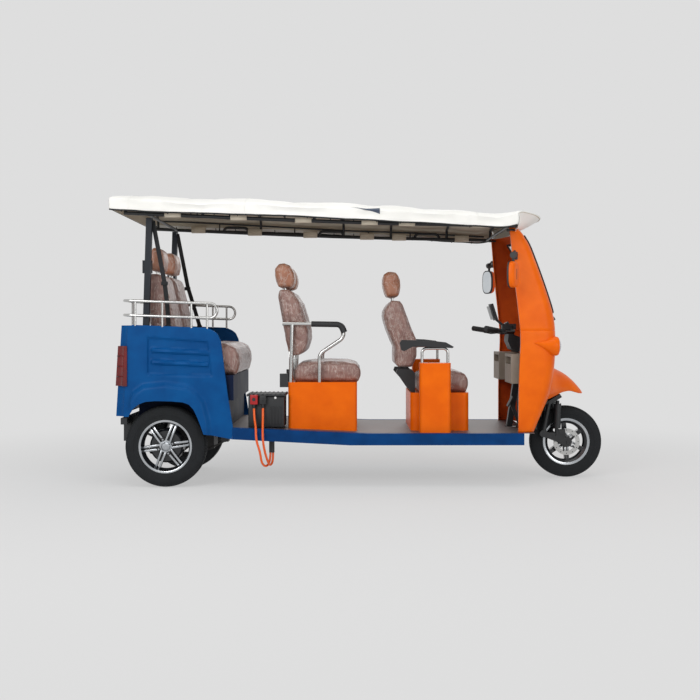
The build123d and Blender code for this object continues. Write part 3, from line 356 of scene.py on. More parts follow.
# Hot-rolled tread plate, painted warm grey and scuffed bright on its lozenges.
TREAD_PLATE = Finish("painted tread plate", "#5c504e", "#6d615e", Relief.TREAD, 15.0, 1.1,
                     0.48, metallic=0.2, patch_mm=60.0)
# Drawn stainless tube, polished: bright metal with faint lines along it.
STAINLESS = Finish("polished stainless steel", "#c9c9c7", "#b9b9b8", Relief.BRUSHED, 1.2, 0.01,
                   0.17, metallic=1.0, rough_drift=0.05)
# Machined and lacquered aluminium alloy: bright silver spokes.
ALLOY = Finish("machined aluminium alloy", "#c4c7ca", "#adb1b5", Relief.BRUSHED, 1.0, 0.02,
               0.24, metallic=1.0, rough_drift=0.06)
# Black enamel in the pockets and barrels of the alloy wheels.
WHEEL_BLACK = Finish("black enamel on alloy", "#101216", "#16181c", Relief.ORANGE_PEEL, 4.0,
                     0.02, 0.3, coat=0.3)
# Filled natural rubber: deep grey black, matt, with dust in its grooves.
TYRE_RUBBER = Finish("vulcanised tyre rubber", "#0c0f12", "#15181b", Relief.GRAIN, 1.4, 0.08,
                     0.78, patch_mm=35.0, ior=1.4)
# Coated leather cloth, warm brown, below clear wrapping whose creases glint from the coat and
# carry painted highlight in the base colour.
WRAPPED_VINYL = Finish("wrapped brown leather cloth", "#7b5a52", "#8d6a60", Relief.FILM, 2.6,
                       0.25, 0.5, coat=0.7, coat_roughness=0.11, patch_mm=70.0)
# The same leather cloth on the headrests, more orange brown below its wrapping, with the same
# painted highlight along its creases.
WRAPPED_TAN = Finish("wrapped tan leather cloth", "#9a6247", "#a87257", Relief.FILM, 2.6, 0.25,
                     0.5, coat=0.7, coat_roughness=0.11, patch_mm=60.0)
# Polyurethane foam with a skin: arm pads and grips, matt black.
BLACK_FOAM = Finish("black integral-skin foam", "#17181a", "#1d1e20", Relief.LEATHER, 1.8, 0.1,
                    0.6)
# Moulded ABS with a spark-eroded grain: dark and dry.
BLACK_ABS = Finish("grained black ABS", "#1a1b1d", "#222325", Relief.GRAIN, 1.1, 0.05, 0.5)
# Moulded ABS in warm beige grey, matt.
BEIGE_ABS = Finish("matt beige ABS", "#8b7f72", "#7f7467", Relief.GRAIN, 1.3, 0.05, 0.55)
# PVC-coated polyester cloth of the canopy: off-white, dense weave drawn coarser to show.
CANOPY_CLOTH = Finish("coated canopy cloth", "#f1f0ec", "#e9e8e3", Relief.WEAVE, 3.0, 0.06,
                      0.68, sheen=0.1, patch_mm=260.0)
# Lining cloth under the canopy: beige, matt, plain weave.
LINING_CLOTH = Finish("woven beige lining", "#c9bfae", "#beb3a1", Relief.WEAVE, 2.4, 0.08, 0.85,
                      patch_mm=180.0)
# Dark navy enamel on the steel under the rear bench: satin, a little uneven.
NAVY_PAINT = Finish("navy paint in shade", "#0b1730", "#101d38", Relief.ORANGE_PEEL, 4.0, 0.02,
                    0.5, ior=1.2)
# Polyester webbing of belts, hooks and piping: black, dry, ribbed.
WEBBING = Finish("black polyester webbing", "#101113", "#1d1e21", Relief.WEAVE, 2.0, 0.2, 0.8)
# Slate-blue cloth of the stripe on the canopy.
STRIPE_CLOTH = Finish("slate-blue cloth", "#3c4658", "#465063", Relief.WEAVE, 3.0, 0.06, 0.7)
# High-voltage cable sheath: orange elastomer with a dull gloss.
ORANGE_SHEATH = Finish("orange cable sheath", "#e85f16", "#dc5510", Relief.GRAIN, 2.0, 0.03,
                       0.42)
# Red acrylic lens over a reflector.
RED_LENS = Finish("red acrylic lens", "#6f0d0d", "#4c080a", Relief.LEATHER, 6.0, 0.4, 0.2,
                  coat=0.15)
# Clear acrylic lamp lens over a silvered bowl, read as bright grey.
CLEAR_LENS = Finish("clear lamp lens", "#b9c0c4", "#9aa2a8", Relief.LEATHER, 9.0, 0.5, 0.1,
                    metallic=0.6, coat=1.0)
# Nickel-plated or zinc-plated small hardware: bolts, washers and clasps.
ZINC = Finish("zinc-plated steel", "#b5b7b9", "#9b9ea1", Relief.CAST, 1.5, 0.03, 0.32,
              metallic=1.0)
# Silvered mirror glass.
MIRROR_GLASS = Finish("silvered mirror glass", "#dfe3e6", "#d5dade", Relief.SMOOTH, 1.0, 0.0,
                      0.04, metallic=1.0, rough_drift=0.02)
# White nylon screw head.
WHITE_NYLON = Finish("white nylon", "#e8e8e6", "#dcdcda", Relief.GRAIN, 1.5, 0.03, 0.4)
# Red moulded socket of the charging lead.
RED_ABS = Finish("red ABS socket", "#b3161a", "#9c1014", Relief.GRAIN, 1.2, 0.04, 0.4)


def smoothstep(low: float, high: float, value: float) -> float:
    """Eases from 0 at low to 1 at high.

    Args:
        low: Value that gives 0.
        high: Value that gives 1.
        value: Value to ease.

    Returns:
        Eased share from 0 to 1.
    """
    part = min(max((value - low) / (high - low), 0.0), 1.0)
    return part * part * (3 - 2 * part)


def along(table: Sequence[Sequence[float]], value: float, column: int = 1) -> float:
    """Reads a column of a table at a value of its first column, with straight runs.

    Args:
        table: Rows sorted by their first column.
        value: Value to look up.
        column: Column to read.

    Returns:
        The value of that column, held at both ends.
    """
    if value <= table[0][0]:
        return table[0][column]
    for one, two in zip(table, table[1:]):
        if value <= two[0]:
            part = (value - one[0]) / (two[0] - one[0])
            return one[column] + part * (two[column] - one[column])
    return table[-1][column]


def eased(table: Sequence[Sequence[float]], value: float, column: int = 1,
          reach: float = 60.0) -> float:
    """Reads a table as along does, with its corners rounded off over a reach.

    Args:
        table: Rows sorted by their first column.
        value: Value to look up.
        column: Column to read.
        reach: Half width of the rounding, in the first column's unit.

    Returns:
        The rounded value.
    """
    shifts = (-1.0, -0.5, 0.0, 0.5, 1.0)
    first, last = table[0][0], table[-1][0]
    room = min(reach, value - first, last - value)
    if room <= 0:
        return along(table, value, column)
    return sum(along(table, value + room * shift, column) for shift in shifts) / len(shifts)


def wavy(x: float, y: float, z: float, size: float) -> float:
    """Seeded smooth noise from -1 to 1, with waves of about size metres."""
    return noise.noise(Vector((x, y, z)) / size)


@dataclass
class Assembly:
    """A sub-assembly: makes pieces and sets each on the body that carries it."""

    body: str = "chassis"

    def piece(self, name: str, mesh: bmesh.types.BMesh, finishes: Sequence[Finish], slot: str,
              replaces: Sequence[str] = (), sharp_deg: float = 35.0,
              turn_out: bool = True) -> bpy.types.Object:
        """Turns a bmesh into a finished object that rides on this assembly's body.

        Args:
            name: Name of the object.
            mesh: Shape in metres, at its place. It is freed.
            finishes: Finishes in the order of the mesh's material numbers.
            slot: The record's material slot; not used.
            replaces: CAD nodes that this piece stands for.
            sharp_deg: Edges steeper than this stay crisp.
            turn_out: Whether faces are turned to point outwards.

        Returns:
            The object.
        """
        bmesh.ops.remove_doubles(mesh, verts=mesh.verts[:], dist=0.00001)
        if turn_out:
            bmesh.ops.recalc_face_normals(mesh, faces=mesh.faces[:])
        for face in mesh.faces:
            face.smooth = True
        data = bpy.data.meshes.new(name)
        mesh.to_mesh(data)
        mesh.free()
        data.set_sharp_from_angle(angle=math.radians(sharp_deg))
        made = linked(name, data)
        for finish in finishes:
            data.materials.append(finish.material())
        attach(made, self.body)
        if replaces:
            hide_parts(*replaces)
        LOG.info("%s: %d faces on %s", name, len(data.polygons), self.body)
        return made

    @staticmethod
    def modifier(made: bpy.types.Object, kind: str, **settings: object) -> None:
        """Adds a modifier with its settings, the same live and rendered."""
        added = made.modifiers.new(kind.lower(), kind)
        for key, value in settings.items():
            setattr(added, key, value)


def grid_surface(columns: int, rows: int,
                 place: Callable[[float, float], Point | None]) -> bmesh.types.BMesh:
    """Bends a flat grid into a surface.

    Args:
        columns: Cells along the first share.
        rows: Cells along the second share.
        place: Gives the point in metres at two shares from 0 to 1, or None for a hole.

    Returns:
        The surface.
    """
    mesh = bmesh.new()
    bmesh.ops.create_grid(mesh, x_segments=columns, y_segments=rows, size=0.5)
    gone = []
    for vert in mesh.verts:
        spot = place(vert.co.x + 0.5, vert.co.y + 0.5)
        if spot is None:
            gone.append(vert)
        else:
            vert.co = Vector(spot)
    bmesh.ops.delete(mesh, geom=gone, context="VERTS")
    return mesh


def mark_new(mesh: bmesh.types.BMesh, seen: set[bmesh.types.BMFace],
             material: int) -> list[bmesh.types.BMFace]:
    """Gives the faces that a mesh has gained their material number.

    Args:
        mesh: Mesh that has gained faces.
        seen: Faces that it had before.
        material: Material number of the new ones.

    Returns:
        The new faces.
    """
    fresh = [face for face in mesh.faces if face not in seen]
    for face in fresh:
        face.material_index = material
    return fresh


def add_box(mesh: bmesh.types.BMesh, low: Point, high: Point, bevel_mm: float = 0.0,
            segments: int = 2, material: int = 0) -> list[bmesh.types.BMVert]:
    """Adds a box between two corners, with rounded edges.

    Args:
        mesh: Mesh that takes the box.
        low: Lowest corner in metres.
        high: Highest corner in metres.
        bevel_mm: Radius of the rounding.
        segments: Steps of the rounding.
        material: Material number of its faces.

    Returns:
        The new vertices.
    """
    seen = set(mesh.faces)
    made = bmesh.ops.create_cube(mesh, size=1.0)["verts"]
    size = Vector(high) - Vector(low)
    middle = (Vector(high) + Vector(low)) / 2
    bmesh.ops.scale(mesh, vec=size, verts=made)
    bmesh.ops.translate(mesh, vec=middle, verts=made)
    if bevel_mm:
        edges = list({edge for vert in made for edge in vert.link_edges})
        bmesh.ops.bevel(mesh, geom=edges, offset=bevel_mm * MM, affect="EDGES",
                        segments=segments, profile=0.5, material=-1)
    fresh = mark_new(mesh, seen, material)
    return list({vert for face in fresh for vert in face.verts})


def add_rod(mesh: bmesh.types.BMesh, start: Point, end: Point, radius: float,
            sides: int = 20, end_radius: float | None = None,
            material: int = 0) -> list[bmesh.types.BMVert]:
    """Adds a round bar or cone between two points.

    Args:
        mesh: Mesh that takes the bar.
        start: First end in metres.
        end: Other end in metres.
        radius: Radius at the first end.
        sides: Facets around.
        end_radius: Radius at the other end, if it tapers.
        material: Material number of its faces.

    Returns:
        The new vertices.
    """
    seen = set(mesh.faces)
    run = Vector(end) - Vector(start)
    made = bmesh.ops.create_cone(mesh, cap_ends=True, segments=sides, radius1=radius,
                                 radius2=radius if end_radius is None else end_radius,
                                 depth=run.length)["verts"]
    turn = Vector((0, 0, 1)).rotation_difference(run.normalized()).to_matrix().to_4x4()
    middle = (Vector(start) + Vector(end)) / 2
    bmesh.ops.transform(mesh, matrix=Matrix.Translation(middle) @ turn, verts=made)
    mark_new(mesh, seen, material)
    return made


def add_spin(mesh: bmesh.types.BMesh, profile: Sequence[tuple[float, float]], centre: Point,
             steps: int, closed: bool = False, material: int = 0) -> list[bmesh.types.BMVert]:
    """Turns a profile about an axis along Y.

    Args:
        mesh: Mesh that takes the form.
        profile: Offsets along Y and radii, in metres.
        centre: Centre of the form.
        steps: Steps of the full turn.
        closed: Whether the profile's ends are joined.
        material: Material number of its faces.

    Returns:
        The new vertices.
    """
    seen = set(mesh.faces)
    old = set(mesh.verts)
    hub = Vector(centre)
    verts = [mesh.verts.new(hub + Vector((radius, offset, 0))) for offset, radius in profile]
    edges = [mesh.edges.new(pair) for pair in zip(verts, verts[1:])]
    if closed:
        edges.append(mesh.edges.new((verts[-1], verts[0])))
    bmesh.ops.spin(mesh, geom=verts + edges, cent=hub, axis=(0, 1, 0),
                   angle=math.radians(360), steps=steps, use_merge=True)
    mark_new(mesh, seen, material)
    made = [vert for vert in mesh.verts if vert not in old]
    bmesh.ops.remove_doubles(mesh, verts=made, dist=0.00001)
    return [vert for vert in mesh.verts if vert not in old]


def add_tube(mesh: bmesh.types.BMesh, points: Sequence[Point], radius: float, sides: int = 16,
             material: int = 0) -> None:
    """Carries a ring along a row of points and skins it, with closed ends.

    Args:
        mesh: Mesh that takes the tube.
        points: Centre line in metres, close enough together to look round.
        radius: Radius of the tube.
        sides: Facets around.
        material: Material number of its faces.
    """
    line = [Vector(point) for point in points]
    side = (line[1] - line[0]).orthogonal().normalized()
    rings: list[list[bmesh.types.BMVert]] = []
    seen = set(mesh.faces)
    for index, spot in enumerate(line):
        ahead = (line[min(index + 1, len(line) - 1)] - line[max(index - 1, 0)]).normalized()
        side = (side - ahead * side.dot(ahead)).normalized()
        over = ahead.cross(side)
        ring = []
        for step in range(sides):
            angle = 2 * math.pi * step / sides
            ring.append(mesh.verts.new(spot + radius * (math.cos(angle) * side
                                                        + math.sin(angle) * over)))
        edges = [mesh.edges.new((ring[i], ring[(i + 1) % sides])) for i in range(sides)]
        if rings:
            bmesh.ops.bridge_loops(mesh, edges=edges + [
                mesh.edges.get((rings[-1][i], rings[-1][(i + 1) % sides]))
                for i in range(sides)])
        rings.append(ring)
    mesh.faces.new(rings[0])
    mesh.faces.new(rings[-1])
    mark_new(mesh, seen, material)


def add_oval(mesh: bmesh.types.BMesh, centre: Point,
             sections: Sequence[tuple[float, float, float]], half_y: float, half_z: float,
             material: int = 0) -> None:
    """Adds a closed form of rounded oval sections stacked along X.

    Args:
        mesh: Mesh to add to.
        centre: Middle of the form in metres.
        sections: Distance along X, width share and height share of each section.
        half_y: Half the full width in metres.
        half_z: Half the full height in metres.
        material: Slot of the faces.
    """
    seen, rings, count = set(mesh.faces), [], 40
    for reach, wide, tall in sections:
        verts = []
        for step in range(count):
            angle = 2 * math.pi * step / count
            across, up = math.cos(angle), math.sin(angle)
            verts.append(mesh.verts.new((
                centre[0] + reach,
                centre[1] + half_y * wide * math.copysign(abs(across) ** 0.62, across),
                centre[2] + half_z * tall * math.copysign(abs(up) ** 0.62, up))))
        rings.append([mesh.edges.new((one, two)) for one, two in zip(verts, verts[1:]
                                                                     + verts[:1])])
    for one, two in zip(rings, rings[1:]):
        bmesh.ops.bridge_loops(mesh, edges=one + two)
    for ring in (rings[0], rings[-1]):
        bmesh.ops.contextual_create(mesh, geom=ring)
    bmesh.ops.recalc_face_normals(mesh, faces=mark_new(mesh, seen, material))


def rounded_route(corners: Sequence[Point], radius: float, steps: int = 8) -> list[Point]:
    """Rounds the corners of a rigid bent tube's route.

    Args:
        corners: Corners of the centre line in metres.
        radius: Bend radius in metres.
        steps: Points in each bend.

    Returns:
        Points of the bent centre line.
    """
    line = [Vector(corner) for corner in corners]
    route = [tuple(line[0])]
    for before, here, after in zip(line, line[1:], line[2:]):
        back = (before - here).normalized()
        ahead = (after - here).normalized()
        half = back.angle(ahead) / 2
        reach = min(radius / math.tan(half), 0.49 * (before - here).length,
                    0.49 * (after - here).length)
        first, last = here + back * reach, here + ahead * reach
        for step in range(steps + 1):
            part = step / steps
            route.append(tuple(first * (1 - part) ** 2 + here * (2 * part * (1 - part))
                               + last * part ** 2))
    route.append(tuple(line[-1]))
    return route


def mirror_across(mesh: bmesh.types.BMesh) -> None:
    """Adds the mirror image of everything in the mesh across the centre plane."""
    geom = mesh.verts[:] + mesh.edges[:] + mesh.faces[:]
    copy = bmesh.ops.duplicate(mesh, geom=geom)["geom"]
    verts = [item for item in copy if isinstance(item, bmesh.types.BMVert)]
    faces = [item for item in copy if isinstance(item, bmesh.types.BMFace)]
    bmesh.ops.scale(mesh, vec=(1, -1, 1), verts=verts)
    bmesh.ops.reverse_faces(mesh, faces=faces)


@dataclass
class Tyre(Assembly):
    """A tyre with beads, rounded sidewalls, rim guard rings and a blocked tread."""

    node: str = ""
    centre: Point = (0.0, 0.0, 0.0)
    radius: float = 0.253
    width: float = 0.130
    rim_radius: float = 0.161
    pitches: int = 84
    tread_mm: float = 4.0

    def _profile(self) -> list[tuple[float, float]]:
        """Gives half the section, from the crown's middle to the bead."""
        half, wall = self.width / 2, self.radius - self.rim_radius
        base = self.radius - self.tread_mm * MM
        return [(0.0, base), (0.20 * half, base), (0.40 * half, base - 0.0005),
                (0.60 * half, base - 0.0015), (0.76 * half, base - 0.004),
                (0.88 * half, base - 0.010), (0.95 * half, base - 0.018),
                (0.985 * half, self.rim_radius + 0.62 * wall),
                (0.995 * half, self.rim_radius + 0.46 * wall),
                (0.99 * half, self.rim_radius + 0.40 * wall),
                (0.97 * half, self.rim_radius + 0.39 * wall),
                (0.955 * half, self.rim_radius + 0.24 * wall),
                (0.93 * half, self.rim_radius + 0.16 * wall),
                (0.94 * half, self.rim_radius + 0.09 * wall),
                (0.86 * half, self.rim_radius + 0.03 * wall),
                (0.78 * half, self.rim_radius - 0.001)]

    def build(self) -> bpy.types.Object:
        """Makes the tyre and returns it."""
        half_profile = self._profile()
        section = [(-y, r) for y, r in reversed(half_profile[1:])] + half_profile
        mesh = bmesh.new()
        add_spin(mesh, section, self.centre, self.pitches, closed=True)
        bmesh.ops.recalc_face_normals(mesh, faces=mesh.faces[:])
        hub = Vector(self.centre)
        half, step = self.width / 2, 2 * math.pi / self.pitches
        for vert in mesh.verts:
            away = vert.co - hub
            share = abs(away.y) / half
            if math.hypot(away.x, away.z) > self.radius - 0.02:
                swing = step * (0.5 if 0.15 < share < 0.5 else 0.0) + step * 0.9 * share
                turn = Matrix.Rotation(swing, 3, "Y")
                vert.co = hub + turn @ away
        blocks = []
        for face in mesh.faces:
            away = face.calc_center_median() - hub
            reach = math.hypot(away.x, away.z)
            if reach > self.radius - self.tread_mm * MM - 0.0085 and abs(away.y) < 0.85 * half:
                blocks.append(face)
        bmesh.ops.inset_individual(mesh, faces=blocks, thickness=0.0016,
                                   depth=(self.tread_mm - 0.4) * MM, use_even_offset=True)
        return self.piece(self.node.replace("_tyre", "_tyre_tread"), mesh, [TYRE_RUBBER],
                          "tyre_rubber", [self.node], sharp_deg=30)


@dataclass
class AlloyWheel(Assembly):
    """Cast alloy wheel with six twin spokes, black pockets, a hub cap and lug nuts."""

    node: str = ""
    centre: Point = (0.0, 0.0, 0.0)
    side: float = -1.0
    radius: float = 0.161
    width: float = 0.116
    face_y: float = 0.040
    hub_radius: float = 0.042
    first_angle: float = -8.0
    nuts: int = 4
    slot_half: float = 0.0145

    def _spoke(self, mesh: bmesh.types.BMesh, angle: float, splay: float) -> None:
        """Adds one tapered spoke, bright in front and black at its sides.

        Args:
            mesh: Mesh of the wheel.
            angle: Direction of the pair in degrees.
            splay: Turn of this spoke away from the pair's middle, in degrees.
        """
        inner, outer = self.hub_radius * 0.75, self.radius - 0.012
        depth, root, tip = 0.030, 0.0064, 0.0074
        seen = set(mesh.faces)
        made = bmesh.ops.create_cube(mesh, size=1.0)["verts"]
        bmesh.ops.subdivide_edges(
            mesh, edges=[e for e in {e for v in made for e in v.link_edges}
                         if abs((e.verts[0].co - e.verts[1].co).x) > 0.5], cuts=3)
        fresh = [f for f in mesh.faces if f not in seen]
        verts = list({v for f in fresh for v in f.verts})
        for vert in verts:
            share = vert.co.x + 0.5
            wide = root + (tip - root) * share
            crown = 0.006 * math.sin(math.pi * share)
            front = vert.co.y * self.side > 0
            y = self.side * (self.face_y - 0.010 * share + crown) if front else \
                self.side * (self.face_y - depth - 0.014 * share)
            vert.co = Vector((inner + (outer - inner) * share, y,
                              vert.co.z * 2 * wide * (0.86 if front else 1.0)))
        turn = (Matrix.Translation(Vector(self.centre))
                @ Matrix.Rotation(math.radians(angle), 4, "Y")
                @ Matrix.Translation((0, 0, math.copysign(self.slot_half, splay)))
                @ Matrix.Rotation(math.radians(splay), 4, "Y"))
        bmesh.ops.transform(mesh, matrix=turn, verts=verts)
        edges = list({e for f in fresh for e in f.edges})
        sharp = [e for e in edges if len(e.link_faces) == 2
                 and e.link_faces[0].normal.dot(e.link_faces[1].normal) < 0.5]
        bmesh.ops.bevel(mesh, geom=sharp, offset=0.0014, affect="EDGES", segments=2,
                        profile=0.5, material=-1)
        fresh = [f for f in mesh.faces if f not in seen]
        bmesh.ops.recalc_face_normals(mesh, faces=fresh)
        for face in fresh:
            face.material_index = 0 if face.normal.y * self.side > 0.55 else 1

    def build(self) -> bpy.types.Object:
        """Makes the wheel and returns it."""
        mesh = bmesh.new()
        side, half = self.side, self.width / 2
        lip = [(side * half, self.radius - 0.002), (side * half, self.radius + 0.0045),
               (side * (half - 0.004), self.radius + 0.006),
               (side * (half - 0.007), self.radius), (side * (half - 0.012), self.radius - 0.004),
               (side * (half - 0.012), self.radius - 0.009),
               (side * (half - 0.002), self.radius - 0.008)]
        add_spin(mesh, lip, self.centre, 96, closed=True, material=0)
        barrel = [(side * (half - 0.010), self.radius - 0.005),
                  (side * (half - 0.040), self.radius - 0.018), (0.0, self.radius - 0.022),
                  (-side * (half - 0.006), self.radius - 0.006), (-side * half, self.radius),
                  (-side * (half - 0.004), self.radius + 0.001), (0.0, self.radius - 0.014),
                  (side * (half - 0.030), self.radius - 0.010)]
        add_spin(mesh, barrel, self.centre, 96, closed=True, material=1)
        drum = [(side * 0.020, 0.014), (side * 0.020, 0.094), (side * 0.010, 0.104),
                (-side * 0.066, 0.106), (-side * 0.070, 0.098), (-side * 0.070, 0.016)]
        add_spin(mesh, drum, self.centre, 64, closed=True, material=1)
        face = self.face_y
        hub = [(side * 0.012, 0.014), (side * 0.012, self.hub_radius + 0.004),
               (side * (face - 0.006), self.hub_radius + 0.002),
               (side * (face + 0.001), self.hub_radius - 0.004),
               (side * (face + 0.002), 0.030), (side * (face + 0.012), 0.027),
               (side * (face + 0.019), 0.019), (side * (face + 0.0205), 0.008),
               (side * (face + 0.0205), 0.0005), (side * 0.03, 0.0005), (side * 0.03, 0.014)]
        add_spin(mesh, hub, self.centre, 48, closed=True, material=0)
        for pair in range(6):
            for splay in (-1.5, 1.5):
                self._spoke(mesh, self.first_angle + 60 * pair, splay)
        for index in range(self.nuts):
            angle = math.radians(22 + 360 / self.nuts * index)
            x = self.centre[0] + 0.046 * math.cos(angle)
            z = self.centre[2] + 0.046 * math.sin(angle)
            y = self.centre[1]
            add_rod(mesh, (x, y + side * 0.010, z), (x, y + side * (face + 0.0015), z), 0.0125,
                    24, material=1)
            add_rod(mesh, (x, y + side * (face - 0.004), z), (x, y + side * (face + 0.010), z),
                    0.0062, 6, material=2)
        return self.piece(self.node + "_alloy", mesh, [ALLOY, WHEEL_BLACK, ZINC], "alloy",
                          [self.node], sharp_deg=32)


@dataclass
class FrontWheel(Assembly):
    """Front wheel: silver lip and spokes round a black ring, brake disc with black carrier."""

    body: str = "front_wheel"
    centre: Point = FRONT_WHEEL
    radius: float = 0.151
    width: float = 0.084

    def build(self) -> bpy.types.Object:
        """Makes the wheel and returns it."""
        wheel = AlloyWheel(self.body, "front_rim", self.centre, -1.0, self.radius, self.width,
                           0.018, 0.036, 25.0, 0)
        mesh = bmesh.new()
        for side in (-1.0, 1.0):
            wheel.side = side
            half = self.width / 2
            lip = [(side * half, self.radius - 0.002), (side * half, self.radius + 0.004),
                   (side * (half - 0.005), self.radius + 0.004),
                   (side * (half - 0.010), self.radius - 0.006),
                   (side * (half - 0.003), self.radius - 0.012)]
            add_spin(mesh, lip, self.centre, 96, closed=True, material=0)
            ring = [(side * (half - 0.006), self.radius - 0.010),
                    (side * (half - 0.020), self.radius - 0.030),
                    (side * (half - 0.026), self.radius - 0.028),
                    (side * (half - 0.014), self.radius - 0.006)]
            add_spin(mesh, ring, self.centre, 96, closed=True, material=1)
            for pair in range(6):
                for splay in (-4.0, 4.0):
                    wheel._spoke(mesh, wheel.first_angle + 60 * pair, splay)
        band = [(-0.036, self.radius - 0.006), (-0.014, self.radius - 0.020),
                (0.014, self.radius - 0.020), (0.036, self.radius - 0.006),
                (0.014, self.radius - 0.012), (-0.014, self.radius - 0.012)]
        add_spin(mesh, band, self.centre, 96, closed=True, material=0)
        hub = [(-0.051, 0.0104), (-0.051, 0.029), (-0.030, 0.031), (-0.018, 0.038),
               (0.018, 0.038), (0.030, 0.031), (0.051, 0.029), (0.051, 0.0104)]
        add_spin(mesh, hub, self.centre, 48, closed=True, material=1)
        disc = [(-0.0505, 0.060), (-0.0505, 0.088), (-0.0465, 0.088), (-0.0465, 0.060)]
        add_spin(mesh, disc, self.centre, 72, closed=True, material=2)
        carrier = [(-0.0515, 0.026), (-0.0515, 0.036), (-0.0475, 0.036), (-0.0475, 0.026)]
        add_spin(mesh, carrier, self.centre, 48, closed=True, material=1)
        for index in range(5):
            angle = math.radians(72 * index + 20)
            reach = [(self.centre[0] + r * math.cos(angle + turn),
                      -0.049, self.centre[2] + r * math.sin(angle + turn))
                     for r, turn in ((0.032, 0.0), (0.066, 0.28))]
            add_rod(mesh, reach[0], reach[1], 0.0045, 10, material=1)
        for index in range(12):
            angle = math.radians(30 * index)
            x = self.centre[0] + 0.077 * math.cos(angle)
            z = self.centre[2] + 0.077 * math.sin(angle)
            add_rod(mesh, (x, -0.0509, z), (x, -0.0461, z), 0.0034, 10, material=1)
        return self.piece("front_alloy", mesh, [ALLOY, WHEEL_BLACK, STAINLESS], "alloy",
                          ["front_rim"], sharp_deg=32)


@dataclass
class ChargingLeads(Assembly):
    """Two orange leads from the battery's sockets down into the sleeve under the floor."""

    diameter: float = 0.014

    def routes(self) -> dict[str, list[Point]]:
        """Gives each lead's route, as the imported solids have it."""
        return {
            "cable_1": [(-0.699, -0.437, 0.513), (-0.699, -0.437, 0.436),
                        (-0.682, -0.495, 0.378), (-0.678, -0.528, 0.303),
                        (-0.652, -0.532, 0.226), (-0.644, -0.522, 0.157),
                        (-0.620, -0.474, 0.128), (-0.599, -0.423, 0.153),
                        (-0.598, -0.410, 0.214)],
            "cable_2": [(-0.643, -0.437, 0.514), (-0.643, -0.437, 0.441),
                        (-0.640, -0.493, 0.380), (-0.636, -0.534, 0.303),
                        (-0.626, -0.520, 0.232), (-0.610, -0.509, 0.174),
                        (-0.597, -0.469, 0.134), (-0.581, -0.418, 0.154),
                        (-0.582, -0.410, 0.214)],
        }

    def build(self) -> None:
        for node, points in self.routes().items():
            data = bpy.data.curves.new(node + "_lead", "CURVE")
            data.dimensions = "3D"
            data.bevel_depth = self.diameter / 2
            data.bevel_resolution = 5
            data.use_fill_caps = True
            data.resolution_u = 10
            spline = data.splines.new("NURBS")
            spline.points.add(len(points) - 1)
            for slot, point in zip(spline.points, points):
                slot.co = (*point, 1.0)
            spline.order_u = 3
            spline.use_endpoint_u = True
            data.materials.append(ORANGE_SHEATH.material())
            lead = linked(node + "_lead", data)
            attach(lead, self.body)
            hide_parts(node)
            LOG.info("%s_lead: hanging on %s", node, self.body)

    @staticmethod
    def _length(data: bpy.types.Curve) -> float:
        """Gives the length of a curve's spline in metres."""
        return round(data.splines[0].calc_length(), 3)


